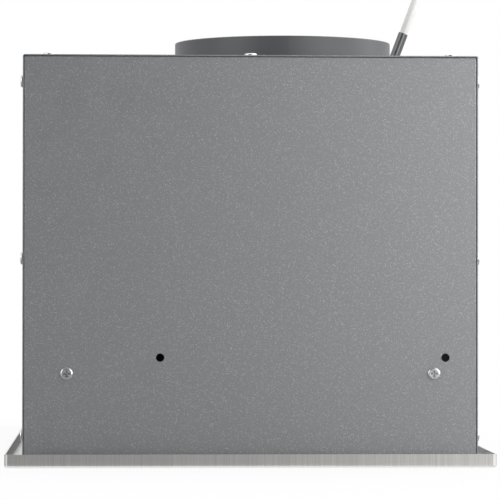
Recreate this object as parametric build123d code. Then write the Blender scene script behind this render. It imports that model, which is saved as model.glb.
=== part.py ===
from build123d import *
import math
import os

import numpy as np

# Built-in canopy range hood, in millimetres.
# X runs along the hood's width, -Y is its front, +Y its wall side, +Z is up.
# The origin is under the middle of the trim tray, on the plane of its underside.

os.makedirs("parts", exist_ok=True)

# Driving sizes of the case and the trim tray
case_width = 500.0
case_depth = 279.0
case_height = 252.0
case_sheet = 0.7
case_bend = 1.2
case_foot = 10.0
end_inset = 0.4
end_flange = 15.0
end_bend = 0.8
sheet_gap = 0.1
tray_overhang = 10.5
tray_lip = 8.3
tray_sheet = 0.8
tray_corner = 2.5
tray_bend = 1.5

# How far a cutting solid reaches past the face that it cuts
past = 1.0

# Cross-recess heads: the edge's round and the recess's floor as shares of the height,
# the recess's arms as shares of the radius
head_round = 0.7
recess_floor = 0.35
recess_reach = 0.5
recess_slit = 0.14

# Screws of the case
screw_head_radius = 3.9
screw_head_height = 1.5
screw_shank_radius = 1.6
screw_length = 8.0
screw_hole_gap = 0.1
screw_edge = 8.0
screw_below_top = 16.0
screw_above_tray = 19.0
screw_top_margin = 16.0

# End plate holes and the tray's brackets
fixing_radius = 2.55
fixing_height = 66.8
fixing_front = 84.0
fixing_rear = 20.0
bracket_sheet = 1.5
bracket_height = 62.0
bracket_foot = 12.0
bracket_margin = 15.0
bracket_screw_height = 57.0
bracket_screw_margin = 27.0
bracket_shank_radius = 2.0
bracket_screw_end = 1.0
washer_radius = 4.5
washer_sheet = 0.8
nut_flat = 3.5
nut_height = 3.2

# Duct collar and its two flaps
duct_radius = 75.0
duct_wall = 2.5
duct_offset = 33.0
duct_height = 26.8
collar_flange = 9.0
collar_flange_height = 4.0
collar_rim_round = 0.6
collar_screw_angle = 20.0
collar_screw_inset = 4.8
collar_screw_head = 3.0
collar_screw_end = 2.0
collar_counterbore = 2.2
counterbore_gap = 0.3
ledge_width = 3.0
ledge_height = 1.2
flap_sheet = 1.5
flap_gap = 1.0
flap_seat_gap = 0.3
flap_pivot = 5.0
flap_knuckle = 2.4
flap_pin = 1.5
flap_pin_gap = 0.05
flap_pin_rise = 0.4
flap_end_gap = 0.5
pin_end = 1.5
pin_hole_end = 1.0
collar_bar = 1.8
collar_lug = 9.0
collar_lug_length = 7.0
collar_lug_cap = 2.0

# Fan housing, a scroll that opens upward under the collar
scroll_tongue_angle = 60.0
scroll_tongue_radius = 80.0
scroll_end_radius = 112.0
scroll_half_width = 60.0
scroll_wall = 2.5
scroll_outlet_half = 57.0
scroll_floor_gap = 19.5
tongue_wrap = 8.0
outlet_margin = 2.0
scroll_flange = 3.0
scroll_flange_width = 21.5
scroll_flange_front = 12.0
inlet_radius = 58.0
inlet_ring = 2.5
inlet_out = 2.0
inlet_in = 4.0
scroll_ear_radius = 4.5
scroll_ear_length = 5.0
scroll_ear_sink = 1.5
scroll_ear_angles = (105, 150, 200, 250, 300, 345)
ear_screw_head = 2.6
ear_screw_inset = 1.0
small_head_height = 2.0
guard_rings = ((12, 0), (28, 24), (43, 40))
guard_edge = 3.0
guard_spoke = 3.0
guard_sheet = 1.5

# Impeller
wheel_radius = 73.0
wheel_inner = 61.0
wheel_half_length = 54.0
wheel_blades = 36
wheel_sweep = 9.0
wheel_bulge = 2.2
blade_sheet = 1.2
wheel_ring = 2.0
wheel_disc = 2.0
wheel_disc_x = 10.0
hub_radius = 11.0
hub_length = 18.0
hub_setback = 7.0
blade_end_gap = 0.3

# Motor
motor_radius = 42.0
motor_wall = 2.5
stack_length = 30.0
stack_start = -42.0
stator_bore = 21.0
rotor_gap = 0.3
slot_count = 12
slot_width = 5.0
slot_floor = 34.0
winding_inner = 24.0
winding_length = 8.0
winding_round = 2.0
rotor_ring = 3.0
shield_outer_depth = 24.0
shield_inner_depth = 12.0
shield_plate = 2.0
bearing_outer = 11.0
bearing_bore = 4.0
bearing_width = 7.0
bearing_seat_gap = 0.02
shaft_gap = 0.04
press_gap = 0.02
shaft_hole = 6.0
bearing_boss = 3.0
motor_bolt_radius = 1.6
motor_bolt_circle = 36.5
motor_bolt_angles = (45, 135, 225, 315)
motor_bolt_head = 3.0
motor_bolt_head_height = 1.8
motor_bolt_end = 3.0
shaft_end = 34.0
shaft_inset = 1.0
shaft_chamfer = 0.5
hub_nut_flat = 6.5
hub_nut_height = 6.0

# Spider that carries the motor on three rubber bushes
spider_sheet = 2.0
spider_hole = 20.0
spider_arm = 16.0
bush_circle = 74.0
bush_angles = (90, 210, 330)
bush_radius = 6.5
bush_length = 3.5
bush_bore = 2.2
spider_screw_head = 4.0
spider_screw_end = 2.0

# Control box behind the fan
box_left = -125.0
box_right = -25.0
box_height = 56.0
box_wall = 2.0
box_clearance = 2.5
box_chamfer = 1.0
cover_rib = 3.0
cover_rib_gap = 0.2
capacitor_radius = 13.0
capacitor_height = 44.0
capacitor_margin = 7.0
capacitor_round = 1.5
capacitor_tab_offset = 5.0
capacitor_tab = (0.8, 6.0, 3.0)
terminal_ways = 3
terminal_pitch = 8.0
terminal_length = 20.0
terminal_height = 14.0
terminal_margin = 5.0
terminal_screw_offset = 5.0
terminal_screw_radius = 2.0
terminal_screw_floor = 6.0
terminal_wire_radius = 1.6
terminal_wire_height = 4.0
clamp_half_width = 9.0
clamp_half_depth = 5.0
clamp_height = 12.0
clamp_screw_offset = 6.2
clamp_screw_radius = 1.8
clamp_screw_depth = 3.0

# Mains lead and the sleeve that it leaves by
cord_diameter = 5.6
sleeve_radius = 3.5
sleeve_lean = 20.6
sleeve_x = -62.0
sleeve_behind = 0.8
sleeve_tip_height = 40.1
sleeve_tip_round = 0.5
sleeve_run = 14.0
grommet_head_radius = 6.5
grommet_head_height = 4.0
grommet_round = 1.2
grommet_body_radius = 5.5
grommet_depth = 9.0

# Coil of the lead that lies on the top of the case
coil_x = -164.0
coil_y = 8.0
coil_outer = 37.0
coil_half_turns = 5
coil_gap = 0.5
tie_sheet = 0.6
tie_width = 5.0
tie_gap = 0.1
tie_bow = 0.75
plug_width = 35.3
plug_height = 13.7
plug_length = 35.0
plug_pin_radius = 2.0
plug_pin_length = 19.0
plug_pin_spacing = 18.6
plug_pin_round = 1.4
plug_nose_length = 29.0
plug_nose_wall = 0.8
plug_nose_flare = 1.4
plug_nose_overlap = 2.0
plug_round = 2.0

# Filter openings in the tray and the grease filters
filter_divider = 8.0
filter_end_margin = 24.0
filter_front_margin = 60.0
filter_rear_margin = 18.0
opening_lip = 5.0
filter_gap = 1.0
filter_rise = 0.6
filter_height = 9.0
filter_border = 10.0
filter_corner = 2.0
filter_pocket = 2.0
filter_skin = 1.5
mesh_gap = 0.1
mesh_margin = 1.0
mesh_relief = 2.0
mesh_columns = 17
mesh_rows = 15
mesh_wire = 1.6
bead_radius = 1.5
bead_height = 3.0
hook_gap = 0.08
hook_sheet = 1.0
hook_width = 12.0
hook_spacing = 140.0
hook_mouth_rise = 0.3
hook_root = 0.5
hinge_setback = 3.5
bead_web_gap = 0.2

# Sliding latch of a filter
cup_half_width = 18.0
cup_length = 32.0
cup_wall = 2.0
latch_half_width = 16.0
latch_length = 16.0
latch_sheet = 3.5
latch_gap = 0.2
latch_travel = 4.0
latch_front_gap = 0.3
tongue_half_width = 12.0
tongue_sheet = 1.5
tongue_gap = 0.4
tongue_side_gap = 0.3
tongue_slot_gap = 0.2
lip_half_width = 12.0
lip_sheet = 2.0
lip_recess = 0.8
ledge_inner = 13.0
ledge_sheet = 1.2
ledge_spare = 3.0

# Switch with five push buttons
strip_margin = 35.5
button_count = 5
button_pitch = 22.0
button_width = 17.4
button_depth = 11.4
button_gap = 0.3
button_recess = 0.3
button_height = 8.7
button_travel = 2.5
button_shoulder = 1.2
button_shoulder_height = 1.5
button_corner = 0.8
button_edge = 0.4
bezel_sheet = 2.0
bezel_margin = 8.0
bezel_flange = 4.0
bezel_boss = 3.0
window_margin = 1.3
switch_height = 21.0
switch_inset = 2.0
switch_flange = 3.0
well_spare = 2.0
shoulder_spare = 0.5

# Lamps
lamp_margin = 80.0
lamp_radius = 20.0
lamp_gap = 0.3
lamp_flange = 23.0
lamp_lens_sheet = 1.2
lamp_lens_round = 0.3
lamp_body_radius = 22.5
lamp_body_wall = 2.5
lamp_body_height = 11.0
lamp_cavity = 5.0
lamp_fins = 7
lamp_fin_sheet = 1.6
lamp_fin_inset = 4.0
lamp_fin_height = 6.0
lamp_terminal = 27.0
lamp_terminal_half = 6.0
lamp_terminal_rise = 4.0
lamp_lead_rise = 7.5

# Leads between the control box, the motor, the switch and the lamps
loom_radius = 2.5


def block(x, y, z):
    """Box between a low and a high value on each axis."""
    spans = (x, y, z)
    sizes = [high - low for low, high in spans]
    centre = [(high + low) / 2 for low, high in spans]
    return Pos(*centre) * Box(*sizes)


def rod_x(span, y, z, radius):
    """Cylinder along X between two places."""
    return Pos(sum(span) / 2, y, z) * Rot(0, 90, 0) * Cylinder(radius, span[1] - span[0])


def rod_y(x, span, z, radius):
    """Cylinder along Y between two places."""
    return Pos(x, sum(span) / 2, z) * Rot(90, 0, 0) * Cylinder(radius, span[1] - span[0])


def rod_z(x, y, span, radius):
    """Cylinder along Z between two places."""
    return Pos(x, y, sum(span) / 2) * Cylinder(radius, span[1] - span[0])


def group(solids):
    """Separate solids of one kind, kept as one node."""
    return Compound(children=[Solid(part.solid().wrapped) for part in solids])


def aim(place, direction):
    """Location that turns +Z to a direction at a place."""
    return Plane(origin=place, z_dir=direction).location


def mirrored(part, side):
    """The part itself on the right, its mirror image on the left."""
    return part if side > 0 else mirror(part, about=Plane.YZ)


def pan_screw(head, height, shank, length):
    """Pan-head cross-recess screw: seat at the origin, head toward +Z, shank toward -Z."""
    pan = rod_z(0, 0, (0, height), head)
    pan = fillet(pan.faces().sort_by(Axis.Z)[-1].edges(), head_round * height)
    arm = recess_reach * head
    slit = recess_slit * head
    recess_span = (recess_floor * height, height + past)
    recess = block((-arm, arm), (-slit, slit), recess_span)
    recess += block((-slit, slit), (-arm, arm), recess_span)
    return pan - recess + rod_z(0, 0, (-length, 0), shank)


def hexagon(flat, height):
    """Hexagonal prism that stands on the origin."""
    return extrude(RegularPolygon(flat, 6, major_radius=False), height)


def scroll_radius(angle):
    """Radius of the scroll's inner wall at an angle from +Y toward +Z, in degrees."""
    growth = (scroll_end_radius - scroll_tongue_radius) / (360 - scroll_tongue_angle)
    return scroll_tongue_radius + growth * (angle - scroll_tongue_angle)


# Places worked out from the driving sizes
half_width = case_width / 2
half_depth = case_depth / 2
case_base = tray_sheet
top_under = case_height - case_sheet
tray_half_x = half_width + tray_overhang
tray_half_y = half_depth + tray_overhang
end_face = half_width - end_inset
end_back = end_face - case_sheet
inner_half_y = half_depth - case_sheet
hole_radius = screw_shank_radius + screw_hole_gap
case_screw_x = half_width - screw_edge
case_screw_heights = (
    screw_above_tray,
    (screw_above_tray + case_height - screw_below_top) / 2,
    case_height - screw_below_top,
)
case_screw_rows = (-(half_depth - screw_top_margin), 0.0, half_depth - screw_top_margin)
fixing_ys = (-(half_depth - fixing_front), half_depth - fixing_rear)
bracket_ys = (-(half_depth - bracket_screw_margin), half_depth - bracket_screw_margin)

duct_bore = duct_radius - duct_wall
rim_z = case_height + duct_height
flange_radius = duct_radius + collar_flange
flange_z = case_height + collar_flange_height
collar_screw_circle = flange_radius - collar_screw_inset
collar_screw_spots = [
    (
        collar_screw_circle * math.cos(math.radians(angle)),
        duct_offset + collar_screw_circle * math.sin(math.radians(angle)),
    )
    for angle in (
        collar_screw_angle,
        180 - collar_screw_angle,
        180 + collar_screw_angle,
        360 - collar_screw_angle,
    )
]

outlet_rear = duct_offset + scroll_outlet_half
outlet_front = duct_offset - scroll_outlet_half
outlet_hole = scroll_outlet_half + outlet_margin
scroll_floor = filter_rise + filter_height + scroll_floor_gap
fan_y = outlet_rear - scroll_end_radius
fan_z = scroll_floor + scroll_wall + scroll_radius(270)
scroll_side = scroll_half_width + scroll_wall
lamp_offset = half_width - lamp_margin

sleeve_y = duct_offset + duct_radius + sleeve_behind
lean = math.radians(sleeve_lean)
sleeve_direction = (0, math.sin(lean), math.cos(lean))
sleeve_tip = (
    sleeve_x,
    sleeve_y + sleeve_tip_height * math.tan(lean),
    case_height + sleeve_tip_height,
)


def end_holes(side):
    """Holes through the case sheet and the end plate's flanges for the case screws."""
    x = side * case_screw_x
    depth = end_flange + screw_length
    holes = []
    for z in case_screw_heights:
        for face in (-1, 1):
            wall = (half_depth - depth, half_depth + past)
            span = wall if face > 0 else (-wall[1], -wall[0])
            holes.append(rod_y(x, span, z, hole_radius))
    for y in case_screw_rows:
        holes.append(rod_z(x, y, (case_height - depth, case_height + past), hole_radius))
    return holes


def make_case_wrapper():
    """Front, top and rear in one folded sheet, with feet turned in at the bottom."""
    height = case_height - case_base
    middle = case_base + height / 2
    section = Plane.YZ.offset(-half_width)
    outer = RectangleRounded(case_depth, height, case_bend)
    inner = RectangleRounded(
        case_depth - 2 * case_sheet, height - 2 * case_sheet, case_bend - case_sheet
    )
    profile = Pos(0, middle) * (outer - inner)
    shell = extrude(section * profile, case_width)
    foot_line = half_depth - case_foot
    shell -= block(
        (-half_width, half_width), (-foot_line, foot_line), (0, case_base + 2 * case_sheet)
    )
    holes = end_holes(1) + end_holes(-1)
    top = (top_under - past, case_height + past)
    holes.append(rod_z(0, duct_offset, top, outlet_hole))
    holes.append(rod_z(sleeve_x, sleeve_y, top, grommet_body_radius + screw_hole_gap))
    for x, y in collar_screw_spots:
        holes.append(rod_z(x, y, top, hole_radius))
    return shell - holes


def make_end_plate(side):
    """Pan-shaped end plate, set into the wrapper with its flanges turned inward."""
    half_y = inner_half_y - sheet_gap
    top = top_under - sheet_gap
    bottom = case_base + case_sheet + 2 * sheet_gap
    height = top - bottom
    section = Plane.YZ.offset(end_face - end_flange - case_sheet)
    depth = end_flange + case_sheet
    outer = Pos(0, bottom + height / 2) * Rectangle(2 * half_y, height)
    pan = extrude(section * outer, depth)
    corners = pan.edges().filter_by(Axis.X).sort_by(Axis.Z)[-2:]
    pan = fillet(corners, case_bend)
    face_edges = pan.faces().sort_by(Axis.X)[-1].edges()
    bend_edges = face_edges.filter_by(lambda edge: edge.center().Z > bottom + past)
    pan = fillet(bend_edges, end_bend)
    pan -= block(
        (0, end_back),
        (-half_y + case_sheet, half_y - case_sheet),
        (bottom - past, top - case_sheet),
    )
    across = (end_back - past, end_face + past)
    holes = end_holes(1)
    for y in fixing_ys:
        holes.append(rod_x(across, y, fixing_height, fixing_radius))
    for y in bracket_ys:
        holes.append(
            rod_x(across, y, bracket_screw_height, bracket_shank_radius + screw_hole_gap)
        )
    return mirrored(pan - holes, side)


def make_case_screws():
    """Screws along the front, the rear and the top at both ends of the case."""
    screw = pan_screw(
        screw_head_radius, screw_head_height, screw_shank_radius, screw_length
    )
    screws = []
    for side in (-1, 1):
        x = side * case_screw_x
        for z in case_screw_heights:
            screws.append(aim((x, -half_depth, z), (0, -1, 0)) * screw)
            screws.append(aim((x, half_depth, z), (0, 1, 0)) * screw)
        for y in case_screw_rows:
            screws.append(aim((x, y, case_height), (0, 0, 1)) * screw)
    return group(screws)


# Filter openings: each has its centre, its span in X and the shared span in Y
opening_x = (filter_divider, half_width - filter_end_margin)
opening_y = (-(half_depth - filter_front_margin), half_depth - filter_rear_margin)
bead_y = opening_y[1] - (bead_radius - tray_sheet)
filter_x = (opening_x[0] + filter_gap, opening_x[1] - filter_gap)
filter_y = (opening_y[0] + filter_gap, bead_y - hinge_setback)
filter_z = (filter_rise, filter_rise + filter_height)
filter_middle = sum(filter_x) / 2
strip_y = strip_margin - half_depth


def opening_lips():
    """Upturned edges round the right-hand filter opening, with the rear edge's bead."""
    lip_z = (0, opening_lip)
    outer = block(
        (opening_x[0] - tray_sheet, opening_x[1] + tray_sheet),
        (opening_y[0] - tray_sheet, opening_y[1] - filter_gap),
        lip_z,
    )
    inner = block(opening_x, (opening_y[0], opening_y[1] + past), lip_z)
    web = block(
        (opening_x[0] - tray_sheet, opening_x[1] + tray_sheet),
        (opening_y[1], opening_y[1] + tray_sheet),
        (0, bead_height - bead_web_gap),
    )
    sides = [
        block(
            (x, x + tray_sheet),
            (opening_y[1] - filter_gap, opening_y[1] + tray_sheet),
            lip_z,
        )
        for x in (opening_x[0] - tray_sheet, opening_x[1])
    ]
    bead = rod_x(opening_x, bead_y, bead_height, bead_radius)
    return outer - inner + web + sides + bead


def button_places():
    """Middle of each push button along X."""
    first = -(button_count - 1) / 2 * button_pitch
    return [first + index * button_pitch for index in range(button_count)]


window_half_x = (button_count - 1) / 2 * button_pitch + button_width / 2 + bezel_boss
window_half_y = button_depth / 2 + bezel_boss + window_margin


def make_trim_tray():
    """Stainless tray: floor, upstand all round, openings for filters, switch and lamps."""
    blank = extrude(Rectangle(2 * tray_half_x, 2 * tray_half_y), tray_lip)
    blank = fillet(blank.edges().filter_by(Axis.Z), tray_corner)
    blank = fillet(blank.faces().sort_by(Axis.Z)[0].edges(), tray_bend)
    core = extrude(
        Rectangle(2 * (tray_half_x - tray_sheet), 2 * (tray_half_y - tray_sheet)), tray_lip
    )
    core = fillet(core.edges().filter_by(Axis.Z), tray_corner - tray_sheet)
    core = fillet(core.faces().sort_by(Axis.Z)[0].edges(), tray_bend - tray_sheet)
    tray = blank - Pos(0, 0, tray_sheet) * core
    through = (-past, tray_lip)
    cuts = [
        block(opening_x, opening_y, through),
        block((-opening_x[1], -opening_x[0]), opening_y, through),
        block(
            (-window_half_x, window_half_x),
            (strip_y - window_half_y, strip_y + window_half_y),
            through,
        ),
        rod_z(lamp_offset, strip_y, through, lamp_radius),
        rod_z(-lamp_offset, strip_y, through, lamp_radius),
    ]
    tray -= cuts
    lips = opening_lips()
    return tray + lips + mirrored(lips, -1)


def make_tray_bracket(side):
    """Angle inside each end plate that ties the case to the tray."""
    half_y = half_depth - bracket_margin
    back = end_back
    leg = block((back - bracket_sheet, back), (-half_y, half_y), (case_base, bracket_height))
    foot = block(
        (back - bracket_sheet - bracket_foot, back),
        (-half_y, half_y),
        (case_base, case_base + bracket_sheet),
    )
    angle = leg + foot
    for y in bracket_ys:
        angle -= rod_x(
            (back - bracket_sheet - past, back + past),
            y,
            bracket_screw_height,
            bracket_shank_radius + screw_hole_gap,
        )
    return mirrored(angle, side)


def make_bracket_fixings():
    """Screws from outside, with a washer and a nut inside, that hold the two brackets."""
    washer_x = (end_back - bracket_sheet - washer_sheet, end_back - bracket_sheet)
    reach = end_face - washer_x[0] + nut_height + bracket_screw_end
    screw = pan_screw(screw_head_radius, screw_head_height, bracket_shank_radius, reach)
    bore = bracket_shank_radius + screw_hole_gap
    screws = []
    washers = []
    nuts = []
    for side in (-1, 1):
        for y in bracket_ys:
            place = (end_face, y, bracket_screw_height)
            screws.append(mirrored(aim(place, (1, 0, 0)) * screw, side))
            ring = rod_x(washer_x, y, bracket_screw_height, washer_radius)
            ring -= rod_x(washer_x, y, bracket_screw_height, bore)
            washers.append(mirrored(ring, side))
            nut = aim((washer_x[0], y, bracket_screw_height), (-1, 0, 0)) * (
                hexagon(nut_flat, nut_height)
                - rod_z(0, 0, (-past, nut_height + past), bore)
            )
            nuts.append(mirrored(nut, side))
    return group(screws), group(washers), group(nuts)


# Heights in the collar: the flaps rest just over a ledge and turn on pins in four lugs
ledge_top = flange_z + ledge_height
flap_z = (ledge_top + flap_seat_gap, ledge_top + flap_seat_gap + flap_sheet)
pivot_z = flap_z[1] + flap_pin_rise
lug_start = duct_bore - collar_lug_length


def make_duct_collar():
    """Plastic collar for the duct, with the ledge, bar and lugs that carry the flaps."""
    centre = (0, duct_offset)
    collar = rod_z(*centre, (case_height, rim_z), duct_radius)
    rim = collar.faces().sort_by(Axis.Z)[-1].edges()
    collar = fillet(rim, collar_rim_round)
    collar += rod_z(*centre, (case_height, flange_z), flange_radius)
    collar -= rod_z(*centre, (case_height, rim_z), duct_bore)
    ledge = rod_z(*centre, (case_height, ledge_top), duct_bore + past)
    ledge -= rod_z(*centre, (case_height, ledge_top), duct_bore - ledge_width)
    collar += ledge
    bar_top = pivot_z + flap_knuckle
    bar = block(
        (-duct_bore, duct_bore),
        (duct_offset - collar_bar, duct_offset + collar_bar),
        (case_height, bar_top),
    )
    lugs = [
        block(
            (low, high),
            (duct_offset - collar_lug, duct_offset + collar_lug),
            (case_height, pivot_z + flap_pin + collar_lug_cap),
        )
        for low, high in ((lug_start, duct_bore + past), (-duct_bore - past, -lug_start))
    ]
    collar += [bar] + lugs
    reach = duct_bore - pin_hole_end
    for y in (duct_offset - flap_pivot, duct_offset + flap_pivot):
        for span in ((lug_start - past, reach), (-reach, past - lug_start)):
            collar -= rod_x(span, y, pivot_z, flap_pin + flap_pin_gap)
    counterbore = (flange_z - collar_counterbore, flange_z + past)
    for x, y in collar_screw_spots:
        collar -= rod_z(x, y, (case_height - past, flange_z + past), hole_radius)
        collar -= rod_z(x, y, counterbore, collar_screw_head + counterbore_gap)
    return collar


def make_collar_screws():
    """Screws that clamp the collar, the case top and the fan housing together."""
    seat = flange_z - collar_counterbore
    reach = seat - (top_under - scroll_flange) + collar_screw_end
    height = collar_counterbore - counterbore_gap
    screw = pan_screw(collar_screw_head, height, screw_shank_radius, reach)
    return group([Pos(x, y, seat) * screw for x, y in collar_screw_spots])


def make_damper_flap(face):
    """Half-round flap with its knuckle and pins; face is 1 at the rear, -1 in front."""
    pivot_y = duct_offset + flap_pivot
    disc = rod_z(0, duct_offset, flap_z, duct_bore - flap_gap)
    keep = block((-duct_radius, duct_radius), (pivot_y, duct_offset + duct_radius), flap_z)
    flap = disc & keep
    knuckle = lug_start - flap_end_gap
    notch = (knuckle, duct_radius)
    notch_y = (duct_offset, duct_offset + collar_lug + collar_lug_cap)
    flap -= block(notch, notch_y, flap_z)
    flap -= block((-notch[1], -notch[0]), notch_y, flap_z)
    flap += rod_x((-knuckle, knuckle), pivot_y, pivot_z, flap_knuckle)
    pin = duct_bore - pin_end
    flap += rod_x((-pin, pin), pivot_y, pivot_z, flap_pin)
    if face < 0:
        flap = mirror(flap, about=Plane.XZ.offset(-duct_offset))
    return flap


def scroll_outline(grow, tongue_shift):
    """Side view of the air space, or of the housing's outside when grown by its wall."""

    def spot(angle):
        radius = scroll_radius(angle) + grow
        turn = math.radians(angle)
        return (fan_y + radius * math.cos(turn), fan_z + radius * math.sin(turn))

    start = scroll_tongue_angle + tongue_shift
    step = (360 - start) / 3
    arcs = []
    for index in range(3):
        angle = start + index * step
        arcs.append(ThreePointArc(spot(angle), spot(angle + step / 2), spot(angle + step)))
    rear = spot(360)[0]
    lines = [
        Line(spot(360), (rear, top_under)),
        Line((rear, top_under), (outlet_front - grow, top_under)),
        Line((outlet_front - grow, top_under), spot(start)),
    ]
    return make_face(arcs + lines)


def make_fan_housing(side):
    """One half of the scroll, split on its middle plane, with inlet, flange and ears."""
    outside = extrude(Plane.YZ * scroll_outline(scroll_wall, tongue_wrap), scroll_side)
    outside += rod_x((0, scroll_side + inlet_out), fan_y, fan_z, inlet_radius + inlet_ring)
    flange = block(
        (0, scroll_side + scroll_flange_width),
        (outlet_front - scroll_wall - scroll_flange_front, outlet_rear + scroll_wall),
        (top_under - scroll_flange, top_under),
    )
    ears = []
    for angle in scroll_ear_angles:
        y, z = scroll_ear_spot(angle)
        ears.append(rod_x((0, scroll_ear_length), y, z, scroll_ear_radius))
    half = outside + ([flange] + ears)
    half -= extrude(Plane.YZ * scroll_outline(0, 0), scroll_half_width)
    ring = rod_x(
        (scroll_half_width - inlet_in, scroll_side), fan_y, fan_z, inlet_radius + inlet_ring
    )
    half += ring
    half -= rod_x((0, scroll_side + inlet_out + past), fan_y, fan_z, inlet_radius)
    for angle in scroll_ear_angles:
        y, z = scroll_ear_spot(angle)
        half -= rod_x((-past, scroll_ear_length + past), y, z, hole_radius)
    through = (top_under - scroll_flange - past, top_under + past)
    for x, y in collar_screw_spots:
        if x > 0:
            half -= rod_z(x, y, through, hole_radius)
    for y, z in bush_spots():
        half -= rod_x((scroll_half_width - past, scroll_side + past), y, z, hole_radius)
    return mirrored(half, side)


def scroll_ear_spot(angle):
    """Place of a joining ear's screw in the side view."""
    radius = scroll_radius(angle) + scroll_wall + scroll_ear_radius - scroll_ear_sink
    turn = math.radians(angle)
    return (fan_y + radius * math.cos(turn), fan_z + radius * math.sin(turn))


def make_housing_screws():
    """Screws through the ears that join the two halves."""
    reach = 2 * scroll_ear_length - ear_screw_inset
    screw = pan_screw(ear_screw_head, small_head_height, screw_shank_radius, reach)
    screws = []
    for angle in scroll_ear_angles:
        y, z = scroll_ear_spot(angle)
        screws.append(aim((scroll_ear_length, y, z), (1, 0, 0)) * screw)
    return group(screws)


def bush_spots():
    """Places of the spider's three feet in the side view."""
    return [
        (
            fan_y + bush_circle * math.cos(math.radians(angle)),
            fan_z + bush_circle * math.sin(math.radians(angle)),
        )
        for angle in bush_angles
    ]


def make_inlet_guard():
    """Flat finger guard of rings and spokes over the right-hand inlet."""
    face = scroll_side + inlet_out
    guard = Sketch()
    for outer, inner in guard_rings + ((inlet_radius + guard_edge, inlet_radius),):
        ring = Circle(outer)
        if inner:
            ring -= Circle(inner)
        guard += ring
    for index in range(3):
        guard += Rot(0, 0, 60 * index) * Rectangle(2 * inlet_radius + guard_edge, guard_spoke)
    place = Plane(origin=(face, fan_y, fan_z), x_dir=(0, 1, 0), z_dir=(1, 0, 0))
    return extrude(place * guard, guard_sheet)


# Motor places along X: the outer shield faces the left inlet
stack_end = stack_start + stack_length
shield_start = stack_start - shield_outer_depth
shield_end = stack_end + shield_inner_depth


def motor_bolt_spots():
    """Places of the motor's through bolts in the side view."""
    return [
        (
            fan_y + motor_bolt_circle * math.cos(math.radians(angle)),
            fan_z + motor_bolt_circle * math.sin(math.radians(angle)),
        )
        for angle in motor_bolt_angles
    ]


def bolt_holes(span):
    """Holes for the motor's through bolts."""
    radius = motor_bolt_radius + screw_hole_gap
    return [rod_x(span, y, z, radius) for y, z in motor_bolt_spots()]


def make_stator_stack():
    """Laminated stator with its bore and winding slots."""
    span = (stack_start, stack_end)
    stack = rod_x(span, fan_y, fan_z, motor_radius)
    stack -= rod_x(span, fan_y, fan_z, stator_bore)
    slots = []
    for index in range(slot_count):
        slot = block(span, (winding_inner, slot_floor), (-slot_width / 2, slot_width / 2))
        slots.append(Pos(0, fan_y, fan_z) * Rot(360 / slot_count * index, 0, 0) * slot)
    return stack - slots - bolt_holes((span[0] - past, span[1] + past))


def make_stator_winding():
    """End turns of the winding, a bundle at each face of the stack."""
    rings = []
    for span in (
        (stack_start - winding_length, stack_start),
        (stack_end, stack_end + winding_length),
    ):
        ring = rod_x(span, fan_y, fan_z, slot_floor) - rod_x(span, fan_y, fan_z, winding_inner)
        rings.append(fillet(ring.edges().filter_by(GeomType.CIRCLE), winding_round))
    return group(rings)


def make_motor_shield(start, end, plate_side):
    """Cast end shield: a cup against the stack with the bearing's boss in its plate."""
    span = (start, end)
    if plate_side < 0:
        hollow = (start + shield_plate, end)
        seat = (start + shield_plate, start + shield_plate + bearing_width)
    else:
        hollow = (start, end - shield_plate)
        seat = (end - shield_plate - bearing_width, end - shield_plate)
    shield = rod_x(span, fan_y, fan_z, motor_radius)
    shield -= rod_x(hollow, fan_y, fan_z, motor_radius - motor_wall)
    shield += rod_x(seat, fan_y, fan_z, bearing_outer + bearing_boss)
    shield -= rod_x(seat, fan_y, fan_z, bearing_outer + bearing_seat_gap)
    shield -= rod_x((start - past, end + past), fan_y, fan_z, shaft_hole)
    return shield - bolt_holes((start - past, end + past))


def make_motor_bearings():
    """One ball bearing in each end shield, drawn as a plain ring."""
    rings = []
    for start in (shield_start + shield_plate, shield_end - shield_plate - bearing_width):
        span = (start, start + bearing_width)
        ring = rod_x(span, fan_y, fan_z, bearing_outer)
        rings.append(ring - rod_x(span, fan_y, fan_z, bearing_bore + shaft_gap))
    return group(rings)


spider_face = -(scroll_side + bush_length)
spider_outer = spider_face - spider_sheet


def make_motor_bolts():
    """Through bolts that hold spider, shields and stack together."""
    reach = shield_end + motor_bolt_end - spider_outer
    screw = pan_screw(motor_bolt_head, motor_bolt_head_height, motor_bolt_radius, reach)
    return group(
        [aim((spider_outer, y, z), (-1, 0, 0)) * screw for y, z in motor_bolt_spots()]
    )


def make_motor_spider():
    """Three-armed steel plate in the left inlet that carries the motor."""
    span = (spider_outer, spider_face)
    plate = rod_x(span, fan_y, fan_z, motor_radius)
    for index in range(3):
        arm = block(span, (0, bush_circle), (-spider_arm / 2, spider_arm / 2))
        plate += Pos(0, fan_y, fan_z) * Rot(90 + 120 * index, 0, 0) * arm
    for y, z in bush_spots():
        plate += rod_x(span, y, z, spider_arm / 2)
    plate -= rod_x(span, fan_y, fan_z, spider_hole)
    for y, z in bush_spots():
        plate -= rod_x(span, y, z, bush_bore)
    return plate - bolt_holes((span[0] - past, span[1] + past))


def make_motor_bushes():
    """Rubber bushes between the spider's feet and the fan housing."""
    span = (spider_face, -scroll_side)
    return group(
        [rod_x(span, y, z, bush_radius) - rod_x(span, y, z, bush_bore) for y, z in bush_spots()]
    )


def make_spider_screws():
    """Screws through the spider's feet and bushes into the fan housing."""
    reach = scroll_wall + bush_length + spider_sheet + spider_screw_end
    screw = pan_screw(spider_screw_head, small_head_height, screw_shank_radius, reach)
    return group([aim((spider_outer, y, z), (-1, 0, 0)) * screw for y, z in bush_spots()])


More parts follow.
